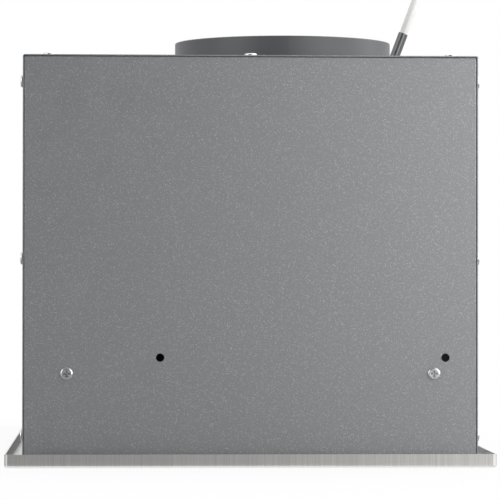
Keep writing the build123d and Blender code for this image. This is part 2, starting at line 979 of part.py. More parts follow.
def make_rotor_core():
    """Squirrel-cage rotor core that turns in the stator's bore."""
    span = (stack_start, stack_end)
    core = rod_x(span, fan_y, fan_z, stator_bore - rotor_gap)
    whole = (stack_start - rotor_ring, stack_end + rotor_ring)
    core += rod_x(whole, fan_y, fan_z, stator_bore - rotor_ring)
    return core - rod_x(whole, fan_y, fan_z, bearing_bore + press_gap)


def make_motor_shaft():
    """Steel shaft from the outer bearing to the impeller's nut."""
    shaft = rod_x((shield_start + shaft_inset, shaft_end), fan_y, fan_z, bearing_bore)
    return chamfer(shaft.edges().filter_by(GeomType.CIRCLE), shaft_chamfer)


def blade_section():
    """One forward-curved blade in the side view, at angle zero."""

    def spot(radius, degrees):
        turn = math.radians(degrees)
        return (radius * math.cos(turn), radius * math.sin(turn))

    outer = wheel_radius - blade_end_gap
    inner = wheel_inner + blade_end_gap
    turn = math.degrees(blade_sheet / wheel_radius)
    middle = (outer + inner) / 2
    bend = math.degrees(wheel_bulge / middle)
    front = ThreePointArc(
        spot(inner, 0), spot(middle, wheel_sweep / 2 - bend), spot(outer, wheel_sweep)
    )
    back = ThreePointArc(
        spot(outer, wheel_sweep + turn),
        spot(middle, wheel_sweep / 2 - bend + turn),
        spot(inner, turn),
    )
    tip = Line(front @ 1, back @ 0)
    root = Line(back @ 1, front @ 0)
    return make_face([front, tip, back, root])


def make_impeller():
    """Double-inlet wheel: blades round a middle disc, a ring at each end and the hub."""
    place = Plane(origin=(0, fan_y, fan_z), x_dir=(0, 1, 0), z_dir=(1, 0, 0))
    half = wheel_half_length
    ends = ((-half, wheel_ring - half), (half - wheel_ring, half))
    disc = (wheel_disc_x - wheel_disc / 2, wheel_disc_x + wheel_disc / 2)
    wheel = rod_x(disc, fan_y, fan_z, wheel_radius)
    for span in ends:
        ring = rod_x(span, fan_y, fan_z, wheel_radius)
        wheel += ring - rod_x(span, fan_y, fan_z, wheel_inner)
    hub_start = wheel_disc_x - hub_setback
    wheel += rod_x((hub_start, hub_start + hub_length), fan_y, fan_z, hub_radius)
    section = blade_section()
    blades = []
    for index in range(wheel_blades):
        turned = Rot(0, 0, 360 / wheel_blades * index) * section
        blades.append(extrude(place.offset(-half) * turned, 2 * half))
    wheel += blades
    return wheel - rod_x((-half, half), fan_y, fan_z, bearing_bore + press_gap)


def make_impeller_nut():
    """Nut on the shaft's end that clamps the hub."""
    start = wheel_disc_x - hub_setback + hub_length
    nut = hexagon(hub_nut_flat, hub_nut_height)
    nut -= rod_z(0, 0, (-past, hub_nut_height + past), bearing_bore + press_gap)
    return aim((start, fan_y, fan_z), (1, 0, 0)) * nut


# Control box between the fan housing and the rear wall
cover_start = outlet_rear + scroll_wall + box_clearance
cover_y = (cover_start, cover_start + box_wall)
box_y = (cover_y[1], inner_half_y)
box_z = (top_under - box_height, top_under)
box_floor = box_z[0] + box_wall


def make_control_box():
    """Plastic box under the case top, open toward the fan."""
    outer = block((box_left, box_right), box_y, box_z)
    rear_edge = outer.edges().filter_by(Axis.X).sort_by(lambda edge: edge.center().Y)[-2:]
    outer = chamfer(rear_edge.sort_by(Axis.Z)[-1], box_chamfer)
    inner = block(
        (box_left + box_wall, box_right - box_wall),
        (box_y[0] - past, box_y[1] - box_wall),
        (box_floor, box_z[1] - box_wall),
    )
    hole = rod_z(
        sleeve_x,
        sleeve_y,
        (box_z[1] - box_wall - past, box_z[1] + past),
        grommet_body_radius + screw_hole_gap,
    )
    return outer - inner - hole


def make_control_box_cover():
    """Cover of the control box, with a rib that drops inside its walls."""
    plate = block((box_left, box_right), cover_y, box_z)
    inset = box_wall + cover_rib_gap
    rib = block(
        (box_left + inset, box_right - inset),
        (cover_y[1], cover_y[1] + cover_rib),
        (box_z[0] + inset, box_z[1] - inset),
    )
    inset += box_wall
    hollow = block(
        (box_left + inset, box_right - inset),
        (cover_y[1], cover_y[1] + cover_rib + past),
        (box_z[0] + inset, box_z[1] - inset),
    )
    return plate + (rib - hollow)


def make_run_capacitor():
    """Run capacitor that stands on the control box's floor."""
    x = box_left + box_wall + capacitor_margin + capacitor_radius
    y = sum(box_y) / 2
    top = box_floor + capacitor_height
    can = rod_z(x, y, (box_floor, top), capacitor_radius)
    can = fillet(can.edges().filter_by(GeomType.CIRCLE), capacitor_round)
    sheet, width, height = capacitor_tab
    tabs = []
    for offset in (-capacitor_tab_offset, capacitor_tab_offset):
        tabs.append(Pos(x + offset, y, top + height / 2) * Box(sheet, width, height))
    return can + tabs


def make_terminal_block():
    """Three-way terminal block on the control box's floor."""
    end = box_right - box_wall - terminal_margin
    x = (end - terminal_length, end)
    y = (sleeve_y - clamp_half_depth, sleeve_y - clamp_half_depth + terminal_ways * terminal_pitch)
    top = box_floor + terminal_height
    body = block(x, y, (box_floor, top))
    screw_hole = (box_floor + terminal_screw_floor, top + past)
    for index in range(terminal_ways):
        spot = y[0] + terminal_pitch * (index + 0.5)
        for offset in (-terminal_screw_offset, terminal_screw_offset):
            body -= rod_z(sum(x) / 2 + offset, spot, screw_hole, terminal_screw_radius)
        wire_hole = (x[0] - past, x[0] + terminal_screw_offset)
        body -= rod_x(wire_hole, spot, box_floor + terminal_wire_height, terminal_wire_radius)
    return body


clamp_top = box_floor + clamp_height


def make_cord_clamp():
    """Saddle on the control box's floor that grips the lead."""
    body = block(
        (sleeve_x - clamp_half_width, sleeve_x + clamp_half_width),
        (sleeve_y - clamp_half_depth, sleeve_y + clamp_half_depth),
        (box_floor, clamp_top),
    )
    for x in (sleeve_x - clamp_screw_offset, sleeve_x + clamp_screw_offset):
        hole = (clamp_top - clamp_screw_depth, clamp_top + past)
        body -= rod_z(x, sleeve_y, hole, clamp_screw_radius)
    return body


def make_cord_sleeve():
    """Snap-in grommet in the case top with the sleeve that leans toward the wall."""
    head_top = case_height + grommet_head_height
    head = rod_z(sleeve_x, sleeve_y, (case_height, head_top), grommet_head_radius)
    head = fillet(head.faces().sort_by(Axis.Z)[-1].edges(), grommet_round)
    body = rod_z(
        sleeve_x, sleeve_y, (case_height - grommet_depth, case_height), grommet_body_radius
    )
    length = sleeve_tip_height / math.cos(lean)
    start = Vector(sleeve_x, sleeve_y, case_height)
    sleeve = aim(start, sleeve_direction) * rod_z(0, 0, (0, length), sleeve_radius)
    tip = sleeve.faces().sort_by(Axis.Z)[-1].edges()
    sleeve = fillet(tip, sleeve_tip_round)
    return head + body + sleeve


def corner_radii(points):
    """Radius at each inner point of a route: 0.45 of its shorter run over tan(half turn)."""
    vectors = [Vector(*point) for point in points]
    runs = [after - before for before, after in zip(vectors, vectors[1:])]
    radii = []
    for before, after in zip(runs, runs[1:]):
        half_turn = math.radians(before.get_angle(after)) / 2
        radii.append(0.45 * min(before.length, after.length) / math.tan(half_turn))
    return radii


def route_tube(name, points, diameter):
    """Round tube along straight runs joined by tangent arcs."""
    radii = corner_radii(points)
    path = FilletPolyline(*points, radius=radii)
    tube = sweep(Plane(origin=path @ 0, z_dir=path % 0) * Circle(diameter / 2), path=path)
    expected = math.pi * diameter**2 / 4 * path.length
    print(
        f"{name}: length {path.length:.0f} mm, smallest radius {min(radii):.1f} mm, "
        f"volume {tube.volume / expected:.4f} of section times length"
    )
    return tube, path.length


# Route of the lead from the sleeve's tip over to the coil, chosen by hand
cord_base = case_height + tie_sheet + 2 * tie_gap + cord_diameter / 2
coil_entry = (coil_x - coil_outer, coil_y + cord_diameter)
cord_points = [
    sleeve_tip,
    tuple(Vector(*sleeve_tip) + Vector(*sleeve_direction) * sleeve_run),
    (-71.9, 136.6, 324.2),
    (-95.8, 142.2, 335.3),
    (-121.6, 141.0, 327.6),
    (-138.2, 133.8, 305.7),
    (-152.2, 126.6, 284.2),
    (-173.0, 116.0, 266.0),
    (-189.0, 95.5, 258.4),
    (-197.5, 68.5, cord_base),
    (coil_entry[0], 40.0, cord_base),
    (*coil_entry, cord_base),
]


def half_turn(start_x, end_x, start_z, end_z, side):
    """Half a turn round the coil's middle as two arcs, from +x to -x or back.

    The middle point lies a little outside the circle, so that both arcs meet in one line
    when the turn also climbs.
    """
    radius = (start_x + end_x) / 2
    centre = side * (start_x - end_x) / 2
    rise = (end_z - start_z) / 2
    middle = Vector(centre, side * math.hypot(radius, rise), start_z + rise)
    begin = Vector(side * start_x, 0, start_z)
    finish = Vector(-side * end_x, 0, end_z)
    forward = (0, side, 0)
    first = TangentArc(begin, middle, tangent=forward)
    second = TangentArc(middle, finish, tangent=first % 1)
    return [first, second]


def coil_edges():
    """Path of the coil: in on the first layer, up a layer, out on the second, then down."""
    step = (cord_diameter + coil_gap) / 2
    layer = cord_diameter + coil_gap
    low = 0.0
    high = layer
    rest = plug_height / 2 - (cord_base - case_height)
    edges = [Line((coil_outer, -cord_diameter, low), (coil_outer, 0, low))]
    radius = coil_outer
    side = 1
    for index in range(coil_half_turns):
        edges += half_turn(radius, radius - step, low, low, side)
        radius -= step
        side = -side
    edges += half_turn(radius, radius - step, low, high, side)
    radius -= step
    side = -side
    edges += half_turn(radius, radius + 2 * step, high, high, side)
    radius += 2 * step
    side = -side
    for index in range(coil_half_turns):
        edges += half_turn(radius, radius + step, high, high, side)
        radius += step
        side = -side
    edges += half_turn(radius, radius + step, high, rest, side)
    radius += step
    edges.append(Line((-radius, 0, rest), (-radius, -cord_diameter, rest)))
    return edges, radius


def least_self_gap(path, diameter):
    """Smallest gap between a tube's own turns, measured on points of its middle line."""
    count = 1400
    spots = np.array([tuple(path.position_at(index / count)) for index in range(count + 1)])
    step = path.length / count
    skip = int(3 * diameter / step)
    least = math.inf
    for offset in range(skip, count):
        apart = np.linalg.norm(spots[offset:] - spots[:-offset], axis=1)
        least = min(least, float(apart.min()))
    return least - diameter


coil_place = Pos(coil_x, coil_y, cord_base) * Rot(0, 0, 180)


def make_cord_coil():
    """The coiled rest of the lead as one unbroken tube."""
    edges, last_radius = coil_edges()
    path = Wire(edges)
    section = Plane(origin=path @ 0, z_dir=path % 0) * Circle(cord_diameter / 2)
    tube = sweep(section, path=path)
    expected = math.pi * cord_diameter**2 / 4 * path.length
    print(
        f"cord_coil: length {path.length:.0f} mm, least gap to itself "
        f"{least_self_gap(path, cord_diameter):.2f} mm, volume "
        f"{tube.volume / expected:.4f} of section times length"
    )
    return coil_place * tube, path.length, last_radius


def make_cord_tie(last_radius):
    """Band round the coil's turns, clear of the innermost turn's bow across its width."""
    step = (cord_diameter + coil_gap) / 2
    clear = cord_diameter / 2 + tie_gap
    inner_x = coil_outer - coil_half_turns * step - clear - tie_bow
    outer_x = last_radius - step / 2 + clear
    low = -clear
    high = cord_diameter + coil_gap + clear
    width = outer_x - inner_x + 2 * tie_sheet
    height = high - low + 2 * tie_sheet
    outer = RectangleRounded(width, height, cord_diameter / 2 + tie_sheet)
    inner = RectangleRounded(width - 2 * tie_sheet, height - 2 * tie_sheet, cord_diameter / 2)
    middle = ((inner_x + outer_x) / 2, (low + high) / 2)
    band = extrude(outer - inner, tie_width / 2, both=True)
    place = Pos(coil_x, coil_y, cord_base) * Rot(0, 0, -90)
    return place * Pos(middle[0], 0, middle[1]) * Rot(90, 0, 0) * band


def make_plug(last_radius):
    """Flat two-pin plug that lies beside the coil, and its pins."""
    x = coil_x + last_radius
    start = coil_y + cord_diameter
    middle_z = case_height + plug_height / 2
    nose = Plane(origin=(x, start, middle_z), z_dir=(0, 1, 0))
    nose_radius = cord_diameter / 2 + plug_nose_wall
    cone = loft(
        [
            nose * Circle(nose_radius),
            nose.offset(plug_nose_length) * Circle(nose_radius + plug_nose_flare),
        ]
    )
    body_start = start + plug_nose_length - plug_nose_overlap
    outline = SlotOverall(plug_width, plug_height)
    body_plane = Plane(origin=(x, body_start, middle_z), x_dir=(1, 0, 0), z_dir=(0, 1, 0))
    body = extrude(body_plane * outline, plug_length)
    ends = body.faces().filter_by(Axis.Y).edges()
    body = fillet(ends, plug_round)
    pins = []
    face = body_start + plug_length
    for offset in (-plug_pin_spacing / 2, plug_pin_spacing / 2):
        pin = rod_y(x + offset, (face, face + plug_pin_length), middle_z, plug_pin_radius)
        tip = pin.faces().sort_by(Axis.Y)[-1].edges()
        pins.append(fillet(tip, plug_pin_round))
    return cone + body, group(pins)


def make_filter_frame():
    """Frame of the right-hand filter, with its finger cup and rear hooks."""
    frame = block(filter_x, filter_y, filter_z)
    frame = fillet(frame.edges().filter_by(Axis.Z), filter_corner)
    frame -= block(*mesh_space(filter_pocket, 0), mesh_z(0))
    frame -= block(*mesh_space(filter_border, 0), (0, filter_z[1] + past))
    cup_x = (filter_middle - cup_half_width - cup_wall, filter_middle + cup_half_width + cup_wall)
    cup_y = (filter_y[0], filter_y[0] + cup_wall + cup_length + cup_wall)
    frame += block(cup_x, cup_y, filter_z)
    frame -= block(
        (cup_x[0] + cup_wall, cup_x[1] - cup_wall),
        (cup_y[0] + cup_wall, cup_y[1] - cup_wall),
        (0, filter_z[1] - filter_skin),
    )
    slot = tongue_half_width + tongue_side_gap
    frame -= block(
        (filter_middle - slot, filter_middle + slot),
        (cup_y[0] - past, cup_y[0] + cup_wall + past),
        (tongue_z[0] - tongue_slot_gap, tongue_z[1] + tongue_slot_gap),
    )
    ledge_start = cup_y[0] + cup_wall
    ledge_y = (ledge_start, ledge_start + latch_length + latch_travel + ledge_spare)
    ledge_z = (latch_z[0] - latch_gap - ledge_sheet, latch_z[0] - latch_gap)
    for span in (
        (filter_middle + ledge_inner, cup_x[1]),
        (cup_x[0], filter_middle - ledge_inner),
    ):
        frame += block(span, ledge_y, ledge_z)
    for offset in (-hook_spacing / 2, hook_spacing / 2):
        frame += hook(filter_middle + offset)
    return frame


def mesh_space(border, gap):
    """X and Y spans inside the filter frame at a border's width."""
    inset = border + gap
    return (
        (filter_x[0] + inset, filter_x[1] - inset),
        (filter_y[0] + inset, filter_y[1] - inset),
    )


def mesh_z(gap):
    """Height of the pocket that holds the mesh."""
    return (filter_z[0] + filter_skin + gap, filter_z[1] - filter_skin - gap)


def hook(x):
    """Rear hook of a filter, an open ring round the tray's bead."""
    inner = bead_radius + hook_gap
    outer = inner + hook_sheet
    span = (x - hook_width / 2, x + hook_width / 2)
    ring = rod_x(span, bead_y, bead_height, outer)
    ring -= rod_x(span, bead_y, bead_height, inner)
    mouth = block(
        span,
        (bead_y - bead_radius, bead_y + outer + past),
        (bead_height - outer - past, bead_height + hook_mouth_rise),
    )
    below = block(
        span,
        (bead_y - outer - past, bead_y),
        (bead_height - outer - past, bead_height - hook_sheet / 2),
    )
    arm = block(
        span,
        (filter_y[1] - hook_root, bead_y - inner),
        (bead_height - hook_sheet / 2, bead_height + hook_sheet / 2),
    )
    return ring - mouth - below + arm


def make_filter_mesh():
    """Pack of expanded aluminium in the filter, with diamond openings in its lower face."""
    spans = mesh_space(filter_pocket, mesh_gap)
    z = mesh_z(mesh_gap)
    pack = block(*spans, z)
    notch_x = (
        filter_middle - cup_half_width - cup_wall - mesh_gap,
        filter_middle + cup_half_width + cup_wall + mesh_gap,
    )
    notch_y = (spans[1][0] - past, filter_y[0] + cup_length + 2 * cup_wall + mesh_gap)
    pack -= block(notch_x, notch_y, (z[0] - past, z[1] + past))
    face_x, face_y = mesh_space(filter_border, mesh_margin)
    pitch_x = (face_x[1] - face_x[0]) / mesh_columns
    pitch_y = (face_y[1] - face_y[0]) / mesh_rows
    diamond = make_face(
        Polyline(
            (-pitch_x / 2 + mesh_wire / 2, 0),
            (0, -pitch_y / 2 + mesh_wire / 2),
            (pitch_x / 2 - mesh_wire / 2, 0),
            (0, pitch_y / 2 - mesh_wire / 2),
            close=True,
        )
    )
    places = []
    for row in range(mesh_rows):
        for column in range(mesh_columns):
            x = face_x[0] + pitch_x * (column + 0.5)
            y = face_y[0] + pitch_y * (row + 0.5)
            in_cup = notch_x[0] - pitch_x / 2 < x < notch_x[1] + pitch_x / 2
            if not (in_cup and y < notch_y[1] + pitch_y / 2):
                places.append(Pos(x, y, z[0]) * diamond)
    return pack - [extrude(place, mesh_relief) for place in places]


# Heights of the latch in its cup: the tongue passes just over the tray's front lip
tongue_z = (opening_lip + tongue_gap, opening_lip + tongue_gap + tongue_sheet)
latch_z = (
    filter_z[1] - filter_skin - latch_gap - latch_sheet,
    filter_z[1] - filter_skin - latch_gap,
)
latch_front = filter_y[0] + cup_wall + latch_front_gap + latch_travel


def make_filter_latch():
    """Sliding latch, drawn back: its tongue goes over the tray's lip when it slides out."""
    y = (latch_front, latch_front + latch_length)
    latch = block(
        (filter_middle - latch_half_width, filter_middle + latch_half_width), y, latch_z
    )
    latch += block(
        (filter_middle - tongue_half_width, filter_middle + tongue_half_width),
        (opening_y[0] + tongue_gap, y[0] + past),
        tongue_z,
    )
    latch += block(
        (filter_middle - lip_half_width, filter_middle + lip_half_width),
        (y[1] - lip_sheet, y[1]),
        (filter_z[0] + lip_recess, latch_z[0] + past),
    )
    return latch


# The switch's body, and its heights: the bezel lies on the tray's floor and fills its window
switch_half_x = window_half_x + bezel_margin - switch_inset
switch_half_y = window_half_y + switch_flange
bezel_z = (tray_sheet, tray_sheet + bezel_sheet)
shoulder_z = (bezel_z[1] + button_gap, bezel_z[1] + button_gap + button_shoulder_height)


def button_holes(gap, z):
    """Rectangular holes for the buttons, wider than them by a gap all round."""
    return [
        block(
            (x - button_width / 2 - gap, x + button_width / 2 + gap),
            (strip_y - button_depth / 2 - gap, strip_y + button_depth / 2 + gap),
            z,
        )
        for x in button_places()
    ]


def make_switch_bezel():
    """Plastic bezel with a raised boss that fills the tray's window."""
    plate = block(
        (-window_half_x - bezel_margin, window_half_x + bezel_margin),
        (strip_y - window_half_y - bezel_flange, strip_y + window_half_y + bezel_flange),
        bezel_z,
    )
    boss = block(
        (-window_half_x + button_gap, window_half_x - button_gap),
        (strip_y - window_half_y + button_gap, strip_y + window_half_y - button_gap),
        (button_recess, bezel_z[0]),
    )
    return plate + boss - button_holes(button_gap, (-past, bezel_z[1] + past))


def make_switch_body():
    """Body of the switch, with a well for each button."""
    body = block(
        (-switch_half_x, switch_half_x),
        (strip_y - switch_half_y, strip_y + switch_half_y),
        (bezel_z[1], bezel_z[1] + switch_height),
    )
    top = button_recess + button_height + button_travel
    body -= button_holes(button_gap, (bezel_z[1] - past, top + well_spare))
    wide = (bezel_z[1] - past, shoulder_z[1] + button_travel + shoulder_spare)
    return body - button_holes(button_gap + button_shoulder, wide)


def make_push_button(x):
    """Push button with rounded edges and a shoulder that keeps it behind the bezel."""
    bottom = button_recess
    cap = block(
        (x - button_width / 2, x + button_width / 2),
        (strip_y - button_depth / 2, strip_y + button_depth / 2),
        (bottom, bottom + button_height),
    )
    cap = fillet(cap.edges().filter_by(Axis.Z), button_corner)
    cap = fillet(cap.faces().sort_by(Axis.Z)[0].edges(), button_edge)
    shoulder = block(
        (x - button_width / 2 - button_shoulder, x + button_width / 2 + button_shoulder),
        (
            strip_y - button_depth / 2 - button_shoulder,
            strip_y + button_depth / 2 + button_shoulder,
        ),
        shoulder_z,
    )
    return cap + shoulder


def make_lamp_lens(side):
    """Round lens: a flange on the tray's floor and a face in the tray's hole."""
    x = side * lamp_offset
    flange = rod_z(x, strip_y, (tray_sheet, tray_sheet + lamp_lens_sheet), lamp_flange)
    face = rod_z(x, strip_y, (button_recess, tray_sheet), lamp_radius - lamp_gap)
    edge = face.faces().sort_by(Axis.Z)[0].edges()
    return flange + fillet(edge, lamp_lens_round)


def make_lamp_body(side):
    """Lamp body over the lens, with cooling fins and a terminal boss."""
    x = lamp_offset
    base = tray_sheet + lamp_lens_sheet
    top = base + lamp_body_height
    body = rod_z(x, strip_y, (base, top), lamp_body_radius)
    body -= rod_z(x, strip_y, (base, base + lamp_cavity), lamp_body_radius - lamp_body_wall)
    outermost = lamp_body_radius - lamp_fin_inset
    half = lamp_fin_sheet / 2
    for index in range(lamp_fins):
        offset = outermost * (2 * index / (lamp_fins - 1) - 1)
        reach = math.sqrt(lamp_body_radius**2 - (abs(offset) + half) ** 2)
        body += block(
            (x - reach, x + reach),
            (strip_y + offset - half, strip_y + offset + half),
            (top, top + lamp_fin_height),
        )
    body += block(
        (x - lamp_terminal, x - lamp_body_radius + lamp_body_wall),
        (strip_y - lamp_terminal_half, strip_y + lamp_terminal_half),
        (base + lamp_terminal_rise, top),
    )
    return mirrored(body, side)


def make_wiring_loom():
    """Leads to the motor, the switch and the lamps, and the lead's tail in the box.

    Their ends come from the pieces that they enter; the points between are chosen by hand.
    """
    rear_y = box_y[1] - 15
    switch_end = strip_y + switch_half_y
    switch_side = switch_half_x
    lamp_side = lamp_offset - lamp_terminal
    lamp_z = tray_sheet + lamp_lens_sheet + lamp_lead_rise
    motor_points = [
        (box_left + 20, rear_y, box_z[0]),
        (box_left + 20, rear_y, box_z[0] - 30),
        (box_left + 24, rear_y - 25, box_z[0] - 55),
        (box_left + 26, fan_y + inlet_radius + 4, fan_z + 4),
        (box_left + 30, fan_y + 30, fan_z),
        (spider_outer, fan_y + 30, fan_z),
    ]
    switch_points = [
        (box_right - 15, rear_y, box_z[0]),
        (box_right - 15, rear_y, box_z[0] / 2),
        (box_right + 2, rear_y - 2, 34),
        (-4, rear_y - 14, 7),
        (0, rear_y - 50, 4.5),
        (-1, 0, 4.2),
        (0, switch_end + 40, 4.5),
        (0, switch_end + 16, 6.5),
        (0, switch_end, 6.5),
    ]
    lamp_points = [
        (switch_side, strip_y, lamp_z),
        (switch_side + 16, strip_y, lamp_z),
        (switch_side + 32, strip_y + 5, lamp_z - 3),
        (lamp_side - 22, strip_y - 4, lamp_z - 3),
        (lamp_side - 10, strip_y, lamp_z),
        (lamp_side, strip_y, lamp_z),
    ]
    leads = []
    for name, points in (
        ("motor lead", motor_points),
        ("switch lead", switch_points),
        ("lamp lead", lamp_points),
    ):
        leads.append(route_tube(name, points, 2 * loom_radius)[0])
    leads.append(mirrored(leads[2], -1))
    tail_z = (clamp_top, case_height - grommet_depth)
    leads.append(rod_z(sleeve_x, sleeve_y, tail_z, cord_diameter / 2))
    return group(leads)


parts = {
    "case_wrapper": make_case_wrapper(),
    "end_plate_left": make_end_plate(-1),
    "end_plate_right": make_end_plate(1),
    "case_screws": make_case_screws(),
    "trim_tray": make_trim_tray(),
    "tray_bracket_left": make_tray_bracket(-1),
    "tray_bracket_right": make_tray_bracket(1),
    "duct_collar": make_duct_collar(),
    "collar_screws": make_collar_screws(),
    "damper_flap_front": make_damper_flap(-1),
    "damper_flap_rear": make_damper_flap(1),
    "fan_housing_left": make_fan_housing(-1),
    "fan_housing_right": make_fan_housing(1),
    "housing_screws": make_housing_screws(),
    "inlet_guard": make_inlet_guard(),
    "motor_spider": make_motor_spider(),
    "motor_bushes": make_motor_bushes(),
    "spider_screws": make_spider_screws(),
    "stator_stack": make_stator_stack(),
    "stator_winding": make_stator_winding(),
    "motor_shield_outer": make_motor_shield(shield_start, stack_start, -1),
    "motor_shield_inner": make_motor_shield(stack_end, shield_end, 1),
    "motor_bolts": make_motor_bolts(),
    "motor_bearings": make_motor_bearings(),
    "rotor_core": make_rotor_core(),
    "motor_shaft": make_motor_shaft(),
    "impeller": make_impeller(),
    "impeller_nut": make_impeller_nut(),
    "control_box": make_control_box(),
    "control_box_cover": make_control_box_cover(),
    "run_capacitor": make_run_capacitor(),
    "terminal_block": make_terminal_block(),
    "cord_clamp": make_cord_clamp(),
    "cord_sleeve": make_cord_sleeve(),
    "wiring_loom": make_wiring_loom(),
    "switch_bezel": make_switch_bezel(),
    "switch_body": make_switch_body(),
}

for name, fixings in zip(
    ("bracket_screws", "bracket_washers", "bracket_nuts"), make_bracket_fixings()
):
    parts[name] = fixings

for number, place in enumerate(button_places(), start=1):
    parts[f"push_button_{number}"] = make_push_button(place)

for label, side in (("left", -1), ("right", 1)):
    parts[f"lamp_lens_{label}"] = make_lamp_lens(side)
    parts[f"lamp_body_{label}"] = make_lamp_body(side)
    parts[f"filter_frame_{label}"] = mirrored(make_filter_frame(), side)
    parts[f"filter_mesh_{label}"] = mirrored(make_filter_mesh(), side)
    parts[f"filter_latch_{label}"] = mirrored(make_filter_latch(), side)

print("cord corner radii:", ", ".join(f"{radius:.0f}" for radius in corner_radii(cord_points)))
free_cord, free_length = route_tube("mains_cord", cord_points, cord_diameter)
coil, coil_length, tail_radius = make_cord_coil()
print(f"whole lead: {free_length + coil_length:.0f} mm")
parts["mains_cord"] = free_cord
parts["cord_coil"] = coil
parts["cord_tie"] = make_cord_tie(tail_radius)
parts["mains_plug"], parts["plug_pins"] = make_plug(tail_radius)

for name, shape in parts.items():
    export_step(shape, f"parts/{name}.step")
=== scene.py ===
import math

import bpy
import numpy as np
from mathutils import Matrix, Vector


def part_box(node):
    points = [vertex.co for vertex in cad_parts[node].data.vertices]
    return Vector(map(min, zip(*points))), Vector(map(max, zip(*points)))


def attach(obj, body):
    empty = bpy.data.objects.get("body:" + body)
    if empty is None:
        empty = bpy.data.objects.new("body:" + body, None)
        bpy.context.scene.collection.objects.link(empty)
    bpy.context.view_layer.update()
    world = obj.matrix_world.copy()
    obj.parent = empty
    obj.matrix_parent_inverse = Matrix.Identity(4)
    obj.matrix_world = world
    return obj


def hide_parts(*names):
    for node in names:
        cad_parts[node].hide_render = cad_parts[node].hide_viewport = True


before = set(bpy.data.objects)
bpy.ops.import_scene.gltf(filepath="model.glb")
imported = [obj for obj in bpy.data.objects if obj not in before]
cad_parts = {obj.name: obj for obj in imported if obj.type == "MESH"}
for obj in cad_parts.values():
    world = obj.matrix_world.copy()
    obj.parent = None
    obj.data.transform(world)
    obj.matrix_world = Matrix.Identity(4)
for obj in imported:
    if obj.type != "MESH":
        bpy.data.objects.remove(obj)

bl_info = {
    "name": "Built-in range hood looks",
    "version": (1, 0, 0),
    "blender": (4, 5, 0),
    "location": "View3D > Sidebar > Hood",
    "description": "Finishes, mains lead, plug, filter mesh and studio for a built-in range hood",
    "category": "Object",
}

MM = 0.001

# The lead and its coil, in millimetres, as part.py has them
CORD_DIAMETER = 5.6
CORD_REST = 255.6
SLEEVE_TIP = (-62.0, 123.873, 292.1)
COIL_CENTRE = (-164.0, 8.0)
COIL_OUTER = 37.0
COIL_STEP = 3.05
COIL_HALF_TURNS = 5
COIL_LAYER = 6.1
COIL_TAIL_DROP = -2.85
COIL_TURN_POINTS = 16
CORD_ROUTE = [
    SLEEVE_TIP,
    (-62.0, 128.799, 305.205),
    (-71.9, 136.6, 324.2),
    (-95.8, 142.2, 335.3),
    (-121.6, 141.0, 327.6),
    (-138.2, 133.8, 305.7),
    (-152.2, 126.6, 284.2),
    (-173.0, 116.0, 266.0),
    (-189.0, 95.5, 258.4),
    (-197.5, 68.5, CORD_REST),
    (-201.0, 40.0, CORD_REST),
    (-201.0, 13.6, CORD_REST),
]

# The plug, in millimetres: its strain relief, how far relief and body reach past each other
# on either side of their joint, and the sleeves of the pins
RELIEF_LENGTH = 29.0
RELIEF_RADII = (3.5, 5.4)
RELIEF_RIBS = 9
RELIEF_LAP = 1.0
PIN_SLEEVE = 10.0

# The plug body: shares of its full width and height at the lead's end, the place along it
# where they are full, and the powers of its section and of its rounded ends
PLUG_NECK = (0.58, 0.82)
PLUG_GROWN_AT = 0.6
PLUG_SECTION_POWER = 3.2
PLUG_END_POWER = 26

# Expanded mesh of the filters: each layer's height in millimetres and its shift in half
# diamonds, the lean of a strand and its zigzag's share of a half diamond
MESH_LAYERS = ((0.45, 0.0), (2.6, 0.5), (4.9, 0.25))
STRAND_LEAN_DEGREES = 35.0
ZIGZAG_SHARE = 0.4

# The notch in the filters round the finger cup, as part.py has it, in millimetres
NOTCH_HALF_WIDTH = 20.1
NOTCH_DEPTH = 34.0

# Push buttons, as part.py has them, and their printed marks, in millimetres
BUTTON_PITCH = 22.0
BUTTON_ROW = -104.0
BAR_PITCH = 2.0
BAR_WIDTH = 0.9
BAR_LENGTH = 4.4
OFF_RING = (1.6, 2.2)
LAMP_DISC = (0.0, 1.9)
NO_RING = (9.0, 9.0)

# The studio floor, in metres: half sizes of the floor, of its opening and of the hood's foot,
# the reach of the mirrored white round the foot, and the distances between which the floor
# goes from a share of plain white to all of it
FLOOR_HALF = 6.0
OPENING_HALF = (0.252, 0.142)
FOOT_HALF = (0.26, 0.15)
MIRROR_REACH = 0.012
PLAIN_NEAR, PLAIN_FAR = 0.3, 1.2
PLAIN_SHARE = 0.91

# What the lamps face, in metres, and the side of the white cove, with the cosines between
# which it fades in
NEAR_END = (0.25, 0, 0.12)
MIDDLE = (0, 0, 0.15)
COVE_SIDE = (-0.9, 0.0, 0.35)
COVE_FADE = (-0.35, 0.15)


def linear(hex_colour):
    """Linear RGBA of an sRGB colour written as six hex digits."""
    parts = [int(hex_colour.lstrip("#")[i : i + 2], 16) / 255 for i in (0, 2, 4)]
    levels = (c / 12.92 if c <= 0.04045 else ((c + 0.055) / 1.055) ** 2.4 for c in parts)
    return (*levels, 1.0)


def shade(hex_colour, factor):
    """The same sRGB colour, darker or lighter by a factor."""
    digits = hex_colour.lstrip("#")
    return "#" + "".join(
        f"{min(255, round(int(digits[i:i + 2], 16) * factor)):02x}" for i in (0, 2, 4)
    )


def node(tree, kind, values=None, links=None, **settings):
    """Add a shader node, set its properties and input values, and link its inputs."""
    made = tree.nodes.new("ShaderNode" + kind)
    for name, value in settings.items():
        setattr(made, name, value)
    for name, value in (values or {}).items():
        made.inputs[name].default_value = value
    for name, socket in (links or {}).items():
        tree.links.new(socket, made.inputs[name])
    return made


def blank_material(name):
    """New material with an empty tree, its tree and its output node."""
    material = bpy.data.materials.new(name)
    material.use_nodes = True
    tree = material.node_tree
    tree.nodes.clear()
    return material, tree, node(tree, "OutputMaterial")


